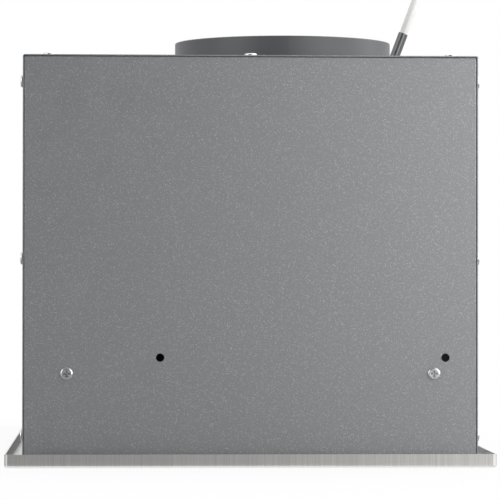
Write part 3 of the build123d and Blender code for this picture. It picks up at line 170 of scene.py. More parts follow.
def finish_surface(tree, output, values, links):
    """End a material in a Principled surface."""
    surface = node(tree, "BsdfPrincipled", values, links)
    tree.links.new(surface.outputs["BSDF"], output.inputs["Surface"])


def dress(material, *nodes):
    """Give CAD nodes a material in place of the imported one."""
    for name in nodes:
        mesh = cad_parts[name].data
        mesh.materials.clear()
        mesh.materials.append(material)


def moulded_plastic(name, colour, roughness, grain_mm, depth_mm=0.02, coat=0.0):
    """Injection-moulded plastic: an even colour under a fine spark-eroded grain.

    The colour drifts by a few shades in clouds 40 mm wide.
    """
    material, tree, output = blank_material(name)
    place = node(tree, "TexCoord").outputs["Object"]
    grain = node(
        tree, "TexNoise", {"Scale": 1000 / grain_mm, "Detail": 3.0, "Roughness": 0.6},
        {"Vector": place},
    )
    cloud = node(tree, "TexNoise", {"Scale": 1000 / 40.0, "Detail": 2.0}, {"Vector": place})
    tint = node(
        tree, "MixRGB", {"Color1": linear(colour), "Color2": linear(shade(colour, 0.93))},
        {"Fac": cloud.outputs["Fac"]},
    )
    gloss = node(
        tree, "MapRange", {"To Min": roughness - 0.05, "To Max": roughness + 0.07},
        {"Value": grain.outputs["Fac"]},
    )
    bump = node(
        tree, "Bump", {"Strength": 0.5, "Distance": depth_mm * MM},
        {"Height": grain.outputs["Fac"]},
    )
    finish_surface(
        tree, output, {"IOR": 1.5, "Coat Weight": coat, "Coat Roughness": 0.15},
        {
            "Base Color": tint.outputs["Color"],
            "Roughness": gloss.outputs["Result"],
            "Normal": bump.outputs["Normal"],
        },
    )
    return material


def powder_coat(name, colour, roughness, flake_mm):
    """Metallic powder coat on sheet steel: fine grain, bright flakes and a soft sheen.

    Real flakes are about 0.1 mm. They are drawn coarser, in one of ten cells of the flake
    size, so that they show at the picture's scale as the photographed ones do. The grain's
    cells are 0.45 mm wide, the orange peel's 2.2 mm and those of the gloss 17 mm.
    """
    material, tree, output = blank_material(name)
    place = node(tree, "TexCoord").outputs["Object"]
    grain = node(
        tree, "TexNoise", {"Scale": 2200.0, "Detail": 2.0, "Roughness": 0.7}, {"Vector": place}
    )
    cells = node(tree, "TexVoronoi", {"Scale": 1000 / flake_mm}, {"Vector": place})
    lot = node(tree, "SeparateColor", None, {"Color": cells.outputs["Color"]})
    flake = node(tree, "MapRange", {"From Min": 0.9}, {"Value": lot.outputs["Red"]})
    spread = node(
        tree, "MapRange", {"From Min": 0.3, "From Max": 0.7}, {"Value": grain.outputs["Fac"]}
    )
    body = node(
        tree, "MixRGB",
        {"Color1": linear(shade(colour, 0.92)), "Color2": linear(shade(colour, 1.08))},
        {"Fac": spread.outputs["Result"]},
    )
    tint = node(
        tree, "MixRGB", {"Color2": linear(shade(colour, 1.28))},
        {"Fac": flake.outputs["Result"], "Color1": body.outputs["Color"]},
    )
    cloud = node(tree, "TexNoise", {"Scale": 60.0, "Detail": 4.0}, {"Vector": place})
    gloss = node(
        tree, "MapRange", {"To Min": roughness - 0.04, "To Max": roughness + 0.04},
        {"Value": cloud.outputs["Fac"]},
    )
    peel = node(tree, "TexNoise", {"Scale": 450.0, "Detail": 1.0}, {"Vector": place})
    bump = node(
        tree, "Bump", {"Strength": 0.25, "Distance": 0.03 * MM}, {"Height": peel.outputs["Fac"]}
    )
    finish_surface(
        tree, output, {"Metallic": 0.75},
        {
            "Base Color": tint.outputs["Color"],
            "Roughness": gloss.outputs["Result"],
            "Normal": bump.outputs["Normal"],
        },
    )
    return material


def brushed_steel(name, colour, roughness, streak_mm, run_mm):
    """Stainless sheet, belt-brushed along X, so that the streaks stand upright at its ends."""
    material, tree, output = blank_material(name)
    coordinates = node(tree, "TexCoord")
    place = coordinates.outputs["Object"]
    facing = node(tree, "SeparateXYZ", None, {"Vector": coordinates.outputs["Normal"]})
    sideways = node(tree, "Math", None, {0: facing.outputs["X"]}, operation="ABSOLUTE")
    is_end = node(
        tree, "Math", {1: 0.7}, {0: sideways.outputs["Value"]}, operation="GREATER_THAN"
    )
    fine = 1000 / streak_mm
    coarse = 1000 / run_mm
    along = node(tree, "VectorMath", {1: (coarse, fine, fine)}, {0: place}, operation="MULTIPLY")
    upright = node(
        tree, "VectorMath", {1: (fine, fine, coarse)}, {0: place}, operation="MULTIPLY"
    )
    chosen = node(
        tree, "MixRGB", None,
        {
            "Fac": is_end.outputs["Value"],
            "Color1": along.outputs["Vector"],
            "Color2": upright.outputs["Vector"],
        },
    )
    streaks = node(
        tree, "TexNoise", {"Scale": 1.0, "Detail": 4.0, "Roughness": 0.7},
        {"Vector": chosen.outputs["Color"]},
    )
    tint = node(
        tree, "MixRGB",
        {"Color1": linear(shade(colour, 0.86)), "Color2": linear(shade(colour, 1.1))},
        {"Fac": streaks.outputs["Fac"]},
    )
    gloss = node(
        tree, "MapRange", {"To Min": roughness - 0.07, "To Max": roughness + 0.07},
        {"Value": streaks.outputs["Fac"]},
    )
    bump = node(
        tree, "Bump", {"Strength": 0.4, "Distance": 0.015 * MM},
        {"Height": streaks.outputs["Fac"]},
    )
    finish_surface(
        tree, output, {"Metallic": 1.0},
        {
            "Base Color": tint.outputs["Color"],
            "Roughness": gloss.outputs["Result"],
            "Normal": bump.outputs["Normal"],
        },
    )
    return material


def plated_metal(name, colour, roughness, grain_mm, painted_shade_mm=0.0):
    """Plated, cast or ground metal: bright, with a faint cloudy skin of one grain size.

    With a shade distance, painted shade darkens the base colour in hollows narrower than about that
    distance.
    """
    material, tree, output = blank_material(name)
    place = node(tree, "TexCoord").outputs["Object"]
    cloud = node(
        tree, "TexNoise", {"Scale": 1000 / grain_mm, "Detail": 3.0}, {"Vector": place}
    )
    tint = node(
        tree, "MixRGB",
        {"Color1": linear(shade(colour, 0.88)), "Color2": linear(shade(colour, 1.08))},
        {"Fac": cloud.outputs["Fac"]},
    )
    gloss = node(
        tree, "MapRange", {"To Min": roughness - 0.06, "To Max": roughness + 0.1},
        {"Value": cloud.outputs["Fac"]},
    )
    skin = tint.outputs["Color"]
    # Painted shade: ambient occlusion multiplies the base colour darker in narrow hollows
    if painted_shade_mm:
        skin = node(
            tree, "AmbientOcclusion", {"Distance": painted_shade_mm * MM}, {"Color": skin}, samples=8
        ).outputs["Color"]
    finish_surface(
        tree, output, {"Metallic": 1.0},
        {"Base Color": skin, "Roughness": gloss.outputs["Result"]},
    )
    return material


def frosted_glass(name, colour):
    """Pressed lamp glass: clear body with a frosted face of prisms 2.2 mm wide."""
    material, tree, output = blank_material(name)
    place = node(tree, "TexCoord").outputs["Object"]
    prisms = node(tree, "TexVoronoi", {"Scale": 450.0}, {"Vector": place})
    bump = node(
        tree, "Bump", {"Strength": 0.6, "Distance": 0.2 * MM},
        {"Height": prisms.outputs["Distance"]},
    )
    finish_surface(
        tree, output,
        {
            "Base Color": linear(colour), "Roughness": 0.35, "IOR": 1.5,
            "Transmission Weight": 0.75,
        },
        {"Normal": bump.outputs["Normal"]},
    )
    return material


def compare(tree, value, limit, operation):
    """1 where a value lies on one side of a limit, otherwise 0."""
    return node(tree, "Math", {1: limit}, {0: value}, operation=operation).outputs["Value"]


def both(tree, first, second, operation="MULTIPLY"):
    """Two masks joined, by their product or, with MAXIMUM, either of them."""
    return node(tree, "Math", None, {0: first, 1: second}, operation=operation).outputs["Value"]


def printed_button(name, colour, print_colour, middle_x, bars, ring_mm):
    """Polished ABS button with a pad-printed mark under it: upright bars, or a ring.

    The row of bars is cut into cells one pitch wide, with a bar in the middle of each. The
    ring lies between two radii. The gloss follows a grain with cells 1.1 mm wide.
    """
    material, tree, output = blank_material(name)
    coordinates = node(tree, "TexCoord")
    local = node(
        tree, "VectorMath", {1: (-middle_x * MM, -BUTTON_ROW * MM, 0)},
        {0: coordinates.outputs["Object"]}, operation="ADD",
    )
    in_mm = node(
        tree, "VectorMath", {"Scale": 1000.0}, {0: local.outputs["Vector"]}, operation="SCALE"
    )
    spot = node(tree, "SeparateXYZ", None, {"Vector": in_mm.outputs["Vector"]})
    flat = node(
        tree, "VectorMath", {1: (1, 1, 0)}, {0: in_mm.outputs["Vector"]}, operation="MULTIPLY"
    )
    radius = node(tree, "VectorMath", None, {0: flat.outputs["Vector"]}, operation="LENGTH")
    across = node(tree, "Math", None, {0: spot.outputs["X"]}, operation="ABSOLUTE")
    along = node(tree, "Math", None, {0: spot.outputs["Y"]}, operation="ABSOLUTE")
    row_half = bars * BAR_PITCH / 2
    shifted = node(tree, "Math", {1: row_half}, {0: spot.outputs["X"]}, operation="ADD")
    cell = node(
        tree, "Math", {1: BAR_PITCH, 2: 0.0}, {0: shifted.outputs["Value"]}, operation="WRAP"
    )
    centred = node(
        tree, "Math", {1: BAR_PITCH / 2}, {0: cell.outputs["Value"]}, operation="SUBTRACT"
    )
    off_middle = node(tree, "Math", None, {0: centred.outputs["Value"]}, operation="ABSOLUTE")
    in_bar = both(
        tree, compare(tree, off_middle.outputs["Value"], BAR_WIDTH / 2, "LESS_THAN"),
        both(
            tree, compare(tree, across.outputs["Value"], row_half, "LESS_THAN"),
            compare(tree, along.outputs["Value"], BAR_LENGTH / 2, "LESS_THAN"),
        ),
    )
    in_ring = both(
        tree, compare(tree, radius.outputs["Value"], ring_mm[0], "GREATER_THAN"),
        compare(tree, radius.outputs["Value"], ring_mm[1], "LESS_THAN"),
    )
    normal = node(tree, "SeparateXYZ", None, {"Vector": coordinates.outputs["Normal"]})
    below = compare(tree, normal.outputs["Z"], -0.7, "LESS_THAN")
    mark = both(tree, both(tree, in_bar, in_ring, "MAXIMUM"), below)
    tint = node(
        tree, "MixRGB", {"Color1": linear(colour), "Color2": linear(print_colour)}, {"Fac": mark}
    )
    grain = node(
        tree, "TexNoise", {"Scale": 900.0, "Detail": 2.0},
        {"Vector": coordinates.outputs["Object"]},
    )
    gloss = node(
        tree, "MapRange", {"To Min": 0.2, "To Max": 0.34}, {"Value": grain.outputs["Fac"]}
    )
    finish_surface(
        tree, output, {"IOR": 1.5},
        {"Base Color": tint.outputs["Color"], "Roughness": gloss.outputs["Result"]},
    )
    return material


def half_sleeved_pin(name, metal, sleeve, sleeve_end):
    """Nickel-plated pin whose root is sleeved in nylon up to a place along Y.

    The gloss follows a grain with cells 0.7 mm wide.
    """
    material, tree, output = blank_material(name)
    place = node(tree, "TexCoord").outputs["Object"]
    spot = node(tree, "SeparateXYZ", None, {"Vector": place})
    bare = compare(tree, spot.outputs["Y"], sleeve_end, "GREATER_THAN")
    grain = node(tree, "TexNoise", {"Scale": 1500.0, "Detail": 2.0}, {"Vector": place})
    tint = node(
        tree, "MixRGB", {"Color1": linear(sleeve), "Color2": linear(metal)}, {"Fac": bare}
    )
    gloss = node(
        tree, "MapRange", {"To Min": 0.18, "To Max": 0.32}, {"Value": grain.outputs["Fac"]}
    )
    finish_surface(
        tree, output, {},
        {
            "Base Color": tint.outputs["Color"], "Metallic": bare,
            "Roughness": gloss.outputs["Result"],
        },
    )
    return material


def grid_quads(rows, columns, closed=False):
    """Corner indices of the quads on a grid of points, optionally closed along its rows."""
    index = np.arange(rows * columns).reshape(rows, columns)
    after = np.roll(index, -1, 1) if closed else index[:, 1:]
    before = index if closed else index[:, :-1]
    return np.stack([before[:-1], after[:-1], after[1:], before[1:]], -1).reshape(-1, 4)


def mesh_piece(context, name, points, quads, smooth=False):
    """New object at the origin from points in metres and quads."""
    mesh = bpy.data.meshes.new(name)
    mesh.from_pydata(points.reshape(-1, 3), [], quads, shade_flat=not smooth)
    piece = bpy.data.objects.new(name, mesh)
    context.scene.collection.objects.link(piece)
    return piece


class HoodFinishes(bpy.types.PropertyGroup):
    """Colours that a user would change."""

    case_colour: bpy.props.StringProperty(
        name="Case colour", description="sRGB hex of the powder-coated case", default="#a1a3a5"
    )
    tray_colour: bpy.props.StringProperty(
        name="Tray colour", description="sRGB hex of the brushed stainless tray",
        default="#e8e7e4",
    )
    collar_colour: bpy.props.StringProperty(
        name="Collar colour", description="sRGB hex of the duct collar's plastic",
        default="#5f6063",
    )
    lead_colour: bpy.props.StringProperty(
        name="Lead colour", description="sRGB hex of the mains lead's sheath", default="#f6f6f4"
    )


class HoodMesh(bpy.types.PropertyGroup):
    """Sizes of the filters' expanded mesh."""

    diamond_long: bpy.props.FloatProperty(
        name="Diamond length", description="Long way of a diamond, from knot to knot",
        default=9.0 * MM, min=2.0 * MM, unit="LENGTH", precision=4,
    )
    diamond_short: bpy.props.FloatProperty(
        name="Diamond width", description="Short way of a diamond, from knot to knot",
        default=5.2 * MM, min=1.0 * MM, unit="LENGTH", precision=4,
    )
    strand_width: bpy.props.FloatProperty(
        name="Strand width", description="Width of a strand between two diamonds",
        default=1.3 * MM, min=0.1 * MM, unit="LENGTH", precision=4,
    )
    sheet: bpy.props.FloatProperty(
        name="Sheet", description="Thickness of the sheet that is slit and stretched",
        default=0.35 * MM, min=0.05 * MM, unit="LENGTH", precision=5,
    )


class HoodStudio(bpy.types.PropertyGroup):
    """Lamps and surroundings of the studio."""

    side_power: bpy.props.FloatProperty(
        name="Side lamp", description="Power of the lamp between camera and wall", default=18.8,
        unit="POWER",
    )
    front_power: bpy.props.FloatProperty(
        name="Front lamp", description="Power of the lamp on the hood's front side", default=13.0,
        unit="POWER",
    )
    wall_power: bpy.props.FloatProperty(
        name="Wall lamp", description="Power of the large lamp on the wall side", default=38.0,
        unit="POWER",
    )
    back_power: bpy.props.FloatProperty(
        name="Back lamp", description="Power of the high lamp behind the hood", default=18.0,
        unit="POWER",
    )
    under_power: bpy.props.FloatProperty(
        name="Under lamp", description="Power of the lamp below the hood's open side", default=24.0,
        unit="POWER",
    )
    room: bpy.props.FloatProperty(
        name="Room", description="Brightness of the room on the camera's side, seen by the hood",
        default=0.0, min=0.0, max=1.0,
    )
    backdrop: bpy.props.FloatProperty(
        name="Backdrop", description="Brightness of the white cove behind, seen by the hood",
        default=0.9, min=0.0, max=1.0,
    )


class HOOD_OT_camera(bpy.types.Operator):
    """Camera at the photograph's place, beside the hood's right-hand end"""

    bl_idname = "hood.camera"
    bl_label = "Camera"

    def execute(self, context):
        place = Vector((2022.2, -80.1, 115.3)) * MM
        yaw, pitch, roll = (math.radians(angle) for angle in (2.567, 0.56, 0.075))
        focal_pixels = 2900.0
        picture_pixels = 500.0
        ahead = Vector(
            (-math.cos(yaw) * math.cos(pitch), math.sin(yaw) * math.cos(pitch), math.sin(pitch))
        )
        level = Vector((math.sin(yaw), math.cos(yaw), 0.0))
        above = level.cross(ahead)
        right = math.cos(roll) * level + math.sin(roll) * above
        up = -math.sin(roll) * level + math.cos(roll) * above
        turn = Matrix((right, up, -ahead)).transposed().to_4x4()
        data = bpy.data.cameras.new("photo_camera")
        data.sensor_width = 36.0
        data.lens = focal_pixels / picture_pixels * data.sensor_width
        camera = bpy.data.objects.new("photo_camera", data)
        camera.matrix_world = Matrix.Translation(place) @ turn
        context.scene.collection.objects.link(camera)
        context.scene.camera = camera
        return {"FINISHED"}


def coil_points():
    """Control points of the coil, a double spiral: inward below, outward above.

    The radius falls by one step each half turn, jumps out by two steps on the upper layer
    and then grows again; the height follows half a cosine wave where it changes. Points on
    a circle pull a quadratic spline inside it, so the radius is enlarged by most of the share
    by which a polygon's corners stand out from its sides.
    """
    crossings = [COIL_OUTER - COIL_STEP * index for index in range(COIL_HALF_TURNS + 2)]
    crossings.append(crossings[-1] + 2 * COIL_STEP)
    for _ in range(COIL_HALF_TURNS + 1):
        crossings.append(crossings[-1] + COIL_STEP)
    levels = [0.0] * (COIL_HALF_TURNS + 1) + [COIL_LAYER] * (COIL_HALF_TURNS + 2)
    levels.append(COIL_TAIL_DROP + COIL_LAYER)
    half_turns = len(crossings) - 1
    spot = np.linspace(0, half_turns, half_turns * COIL_TURN_POINTS // 2 + 1)
    radius = np.interp(spot, range(len(crossings)), crossings)
    radius /= math.cos(math.pi / COIL_TURN_POINTS) ** 0.7
    start = np.minimum(spot.astype(int), half_turns - 1)
    low = np.take(levels, start)
    high = np.take(levels, start + 1)
    height = low + (high - low) * (1 - np.cos(np.pi * (spot - start))) / 2
    x = COIL_CENTRE[0] - radius * np.cos(np.pi * spot)
    y = COIL_CENTRE[1] - radius * np.sin(np.pi * spot)
    return np.stack([x, y, CORD_REST + height], 1)


def plug_body(context, start):
    """Flat plug body, a superellipse lofted along Y toward the pins.

    Place along the body is t from 0 to 1, packed toward its ends by a cosine. The half width
    and half height a and b grow with a smoothstep from the neck's shares to the full ones, and
    close at both ends by (1 - |2t - 1|^m)^(1/3). A section, with c and s the cosine and sine of
    its angle, is x = a*sgn(c)*|c|^(2/n), z = b*sgn(s)*|s|^(2/n).
    """
    low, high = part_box("mains_plug")
    half_x = (high[0] - low[0]) / 2
    half_z = (high[2] - low[2]) / 2
    rings, sides = 41, 48
    t = ((1 - np.cos(np.linspace(0, np.pi, rings))) / 2)[:, None]
    reach = np.clip(t / PLUG_GROWN_AT, 0, 1)
    grown = reach**2 * (3 - 2 * reach)
    width, height = (neck + (1 - neck) * grown for neck in PLUG_NECK)
    closing = (1 - np.abs(2 * t - 1) ** PLUG_END_POWER) ** (1 / 3)
    angle = np.linspace(0, 2 * np.pi, sides, endpoint=False)[None, :]
    c, s = np.cos(angle), np.sin(angle)
    power = 2 / PLUG_SECTION_POWER
    x = half_x * width * closing * np.sign(c) * np.abs(c) ** power
    z = half_z * height * closing * np.sign(s) * np.abs(s) ** power
    y = start + (high[1] - start) * t + 0 * angle
    middle = np.array([(low[0] + high[0]) / 2, 0, (low[2] + high[2]) / 2])
    points = np.stack([x, y, z], -1) + middle
    quads = grid_quads(rings, sides, closed=True)
    return mesh_piece(context, "plug_body", points, quads, smooth=True)


def plug_relief(context, start):
    """Ribbed strain relief round the lead, a cone turned about Y with grooves.

    Radius = (r0 + (r1 - r0)*t) * (1 - 0.16*g), where g = ((1 + cos(2*pi*n*t))/2)^3 sinks a
    groove at each of n ribs; the first ring closes on the lead.
    """
    low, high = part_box("mains_plug")
    rings, sides = RELIEF_RIBS * 10 + 1, 32
    t = np.linspace(0, 1, rings)[:, None]
    groove = ((1 + np.cos(2 * np.pi * RELIEF_RIBS * t)) / 2) ** 3
    first, last = RELIEF_RADII
    radius = (first + (last - first) * t) * (1 - 0.16 * groove) * MM
    radius[0] = CORD_DIAMETER * 0.49 * MM
    angle = np.linspace(0, 2 * np.pi, sides, endpoint=False)[None, :]
    x = (low[0] + high[0]) / 2 + radius * np.cos(angle)
    z = (low[2] + high[2]) / 2 + radius * np.sin(angle)
    y = low[1] + (start - low[1]) * t + 0 * angle
    points = np.stack([x, y, z], -1)
    quads = grid_quads(rings, sides, closed=True)
    return mesh_piece(context, "plug_relief", points, quads, smooth=True)


class HOOD_OT_lead(bpy.types.Operator):
    """Mains lead from the sleeve to the coil on the case top, with its plug"""

    bl_idname = "hood.lead"
    bl_label = "Mains lead"

    def execute(self, context):
        colours = context.scene.hood_finishes
        coil = coil_points()
        tail = coil[-1] + np.array([0.0, CORD_DIAMETER, 0.0])
        points = np.concatenate([np.array(CORD_ROUTE), coil, [tail]]) * MM
        curve = bpy.data.curves.new("mains_lead", "CURVE")
        curve.dimensions = "3D"
        curve.bevel_depth = CORD_DIAMETER / 2 * MM
        curve.bevel_resolution = 5
        curve.resolution_u = 6
        spline = curve.splines.new("NURBS")
        spline.points.add(len(points) - 1)
        spline.points.foreach_set("co", np.column_stack([points, np.ones(len(points))]).ravel())
        spline.order_u = 3
        spline.use_endpoint_u = True
        lead = bpy.data.objects.new("mains_lead", curve)
        context.scene.collection.objects.link(lead)
        # Extruded PVC sheath: even and satin, with a thin gloss
        curve.materials.append(
            moulded_plastic("extruded_pvc_sheath", colours.lead_colour, 0.38, 1.2, 0.003, 0.2)
        )
        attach(lead, "hood")
        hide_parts("mains_cord", "cord_coil")

        # Moulded-on PVC plug, glossier than the sheath
        moulded = moulded_plastic("moulded_pvc_plug", colours.lead_colour, 0.3, 2.0)
        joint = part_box("mains_plug")[0][1] + RELIEF_LENGTH * MM
        plug = [
            plug_body(context, joint - RELIEF_LAP * MM),
            plug_relief(context, joint + RELIEF_LAP * MM),
        ]
        for piece in plug:
            piece.data.materials.append(moulded)
            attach(piece, "hood")
        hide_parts("mains_plug")
        sleeve_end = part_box("plug_pins")[0][1] + PIN_SLEEVE * MM
        dress(
            half_sleeved_pin("half_sleeved_nickel_pins", "#c8c8c6", "#dcdcda", sleeve_end),
            "plug_pins",
        )
        # Flat strap of black PVC
        dress(moulded_plastic("pvc_strap", "#202020", 0.4, 1.0), "cord_tie")
        return {"FINISHED"}


class HOOD_OT_case(bpy.types.Operator):
    """Finishes of the case, its screws and its brackets"""

    bl_idname = "hood.case"
    bl_label = "Case"

    def execute(self, context):
        colours = context.scene.hood_finishes
        # Grey metallic powder coat over galvanised sheet
        paint = powder_coat("metallic_powder_coat", colours.case_colour, 0.42, 0.4)
        dress(paint, "case_wrapper", "end_plate_left", "end_plate_right")
        # Bright zinc plate with a clear passivation
        # The last number paints shade into hollows within 1.5 mm, such as the screws' cross
        # recesses
        zinc = plated_metal("bright_zinc_plate", "#e8e9ea", 0.26, 3.0, 1.5)
        dress(
            zinc, "case_screws", "bracket_screws", "bracket_washers", "bracket_nuts",
            "collar_screws", "housing_screws", "spider_screws", "motor_bolts", "impeller_nut",
        )
        # Hot-dip galvanised sheet, duller and coarser
        dress(
            plated_metal("galvanised_sheet", "#a9abad", 0.4, 6.0),
            "tray_bracket_left", "tray_bracket_right", "motor_spider",
        )
        return {"FINISHED"}


class HOOD_OT_tray(bpy.types.Operator):
    """Finish of the stainless trim tray"""

    bl_idname = "hood.tray"
    bl_label = "Trim tray"

    def execute(self, context):
        colours = context.scene.hood_finishes
        # Ferritic stainless sheet, belt-brushed along the hood's width
        dress(
            brushed_steel("brushed_stainless_steel", colours.tray_colour, 0.33, 0.8, 60.0),
            "trim_tray",
        )
        return {"FINISHED"}


class HOOD_OT_collar(bpy.types.Operator):
    """Finishes of the duct collar, its flaps and the lead's sleeve"""

    bl_idname = "hood.collar"
    bl_label = "Duct collar"

    def execute(self, context):
        colours = context.scene.hood_finishes
        # Dark grey ABS with a fine spark-eroded grain
        dress(
            moulded_plastic("moulded_abs_collar", colours.collar_colour, 0.4, 1.2, 0.01),
            "duct_collar",
        )
        # Polypropylene flaps, softer and duller
        dress(
            moulded_plastic("moulded_pp_flaps", "#3a3b3d", 0.45, 1.0),
            "damper_flap_front", "damper_flap_rear",
        )
        # Plasticised PVC grommet and sleeve in one moulding
        dress(moulded_plastic("soft_pvc_sleeve", "#5c5e61", 0.12, 1.5, 0.005, 1.0), "cord_sleeve")
        return {"FINISHED"}


class HOOD_OT_fan(bpy.types.Operator):
    """Finishes of the fan, the motor and the control box"""

    bl_idname = "hood.fan"
    bl_label = "Fan and motor"

    def execute(self, context):
        # Flame-retardant polypropylene scroll
        dress(
            moulded_plastic("moulded_pp_scroll", "#5a5c5f", 0.5, 1.5),
            "fan_housing_left", "fan_housing_right",
        )
        # Black glass-filled nylon wheel
        dress(moulded_plastic("moulded_pa_impeller", "#26272a", 0.45, 1.5), "impeller")
        # Steel guard dipped in black enamel
        dress(moulded_plastic("dipped_steel_guard", "#1c1c1d", 0.4, 2.0), "inlet_guard")
        # Silicon steel sheets under varnish
        dress(
            plated_metal("varnished_laminations", "#6f7073", 0.5, 1.0),
            "stator_stack", "rotor_core",
        )
        # Enamelled copper wire in varnish
        dress(plated_metal("varnished_copper", "#b4682f", 0.35, 1.0), "stator_winding")
        # Die-cast aluminium end shields, as cast
        dress(
            plated_metal("die_cast_aluminium", "#a6a8aa", 0.45, 1.5),
            "motor_shield_outer", "motor_shield_inner",
        )
        # Hardened and ground steel
        dress(plated_metal("ground_steel", "#b9babb", 0.22, 2.0), "motor_bearings", "motor_shaft")
        # Natural rubber bushes, matt
        dress(moulded_plastic("black_rubber", "#161616", 0.7, 0.8), "motor_bushes")
        # Off-white polypropylene can of the capacitor
        dress(moulded_plastic("moulded_pp_can", "#dedcd6", 0.4, 2.0), "run_capacitor")
        # Dark grey ABS of the control box and the cord clamp
        dress(
            moulded_plastic("moulded_abs_box", "#3a3b3d", 0.5, 1.2),
            "control_box", "control_box_cover", "cord_clamp",
        )
        # Uncoloured nylon of the terminal block
        dress(moulded_plastic("natural_nylon", "#d9d8cf", 0.4, 2.0), "terminal_block")
        # Smooth PVC sleeving over the loom's wires
        dress(moulded_plastic("pvc_loom_sleeving", "#d4d4d2", 0.5, 1.0), "wiring_loom")
        return {"FINISHED"}


class HOOD_OT_controls(bpy.types.Operator):
    """Finishes of the switch, its buttons with their printed marks, and the lamps"""

    bl_idname = "hood.controls"
    bl_label = "Switch and lamps"

    def execute(self, context):
        # Black ABS bezel and switch body
        dress(
            moulded_plastic("moulded_abs_bezel", "#2b2c2e", 0.4, 1.2),
            "switch_bezel", "switch_body",
        )
        # Off, three speeds and the lamps, as a ring, one to three bars and a disc
        marks = ((0, OFF_RING), (1, NO_RING), (2, NO_RING), (3, NO_RING), (0, LAMP_DISC))
        for number, (bars, ring) in enumerate(marks, start=1):
            dress(
                printed_button(
                    f"printed_abs_button_{number}", "#3c3d40", "#e8e8e6",
                    BUTTON_PITCH * (number - 3), bars, ring,
                ),
                f"push_button_{number}",
            )
        # Pressed and frosted soda glass
        dress(frosted_glass("pressed_lamp_glass", "#eef2f4"), "lamp_lens_left", "lamp_lens_right")
        # Cast aluminium lamp bodies with cooling fins
        dress(
            plated_metal("cast_aluminium_lamp", "#9fa1a3", 0.5, 1.5),
            "lamp_body_left", "lamp_body_right",
        )
        return {"FINISHED"}


def expanded_layer(sizes, low, high, height, shift):
    """Points and quads of one layer of expanded mesh over a rectangle, in metres.

    Strand j runs along X at y = y0 + (j + 1/2)*S/2, where S is the diamond's short way, and
    zigzags by a triangle wave of period L, the long way. Every other strand is turned over,
    so neighbours meet in the knots. Each strand is a strip that leans. The quads over the
    finger cup's notch are left out.
    """
    columns = int((high[0] - low[0]) / (sizes.diamond_long / 2)) + 1
    step_x = (high[0] - low[0]) / (columns - 1 + shift)
    step_y = sizes.diamond_short / 2
    strands = int((high[1] - low[1]) / step_y)
    column = np.arange(columns)[None, :, None]
    strand = np.arange(strands)[:, None, None]
    edge = np.array([-0.5, 0.5])[None, None, :] * sizes.strand_width
    lean = math.radians(STRAND_LEAN_DEGREES)
    zigzag = ZIGZAG_SHARE * step_y * (-1.0) ** (column + strand)
    x = low[0] + (column + shift) * step_x
    y = low[1] + (strand + 0.5) * step_y + zigzag + edge * math.cos(lean)
    z = height + edge * math.sin(lean)
    points = np.stack(np.broadcast_arrays(x, y, z), -1).reshape(-1, 3)
    offsets = (np.arange(strands) * columns * 2)[:, None, None]
    quads = (grid_quads(columns, 2)[None] + offsets).reshape(-1, 4)
    centre = points[quads].mean(1)
    in_notch = np.abs(centre[:, 0] - (low[0] + high[0]) / 2) < NOTCH_HALF_WIDTH * MM + step_x / 2
    in_notch &= centre[:, 1] < low[1] + NOTCH_DEPTH * MM + step_y
    return points, quads[~in_notch]


class HOOD_OT_filters(bpy.types.Operator):
    """Grease filters: anodised frames, layers of expanded mesh, and latches"""

    bl_idname = "hood.filters"
    bl_label = "Grease filters"

    def execute(self, context):
        # Clear-anodised extruded aluminium
        dress(
            plated_metal("anodised_aluminium", "#bfc1c3", 0.36, 3.0),
            "filter_frame_left", "filter_frame_right",
        )
        sizes = context.scene.hood_mesh
        # Soft aluminium foil, slit and stretched
        foil = plated_metal("expanded_aluminium", "#b4b6b8", 0.33, 3.0)
        for side in ("left", "right"):
            low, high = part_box(f"filter_mesh_{side}")
            for number, (rise, shift) in enumerate(MESH_LAYERS, start=1):
                points, quads = expanded_layer(sizes, low, high, low[2] + rise * MM, shift)
                layer = mesh_piece(context, f"mesh_{side}_{number}", points, quads)
                layer.data.materials.append(foil)
                sheet = layer.modifiers.new("sheet", "SOLIDIFY")
                sheet.thickness = sizes.sheet
                sheet.offset = 0.0
                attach(layer, f"filter_{side}")
                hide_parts(f"filter_mesh_{side}")
        # Grey nylon latches
        dress(
            moulded_plastic("moulded_pa_latch", "#5b5c5f", 0.4, 1.5),
            "filter_latch_left", "filter_latch_right",
        )
        return {"FINISHED"}


def area_lamp(context, name, place, target, size, power):
    """Soft square lamp that faces a target."""
    data = bpy.data.lights.new(name, "AREA")
    data.shape = "SQUARE"
    data.size = size
    data.energy = power
    lamp = bpy.data.objects.new(name, data)
    lamp.location = place
    lamp.rotation_euler = (Vector(target) - Vector(place)).to_track_quat("-Z", "Y").to_euler()
    context.scene.collection.objects.link(lamp)


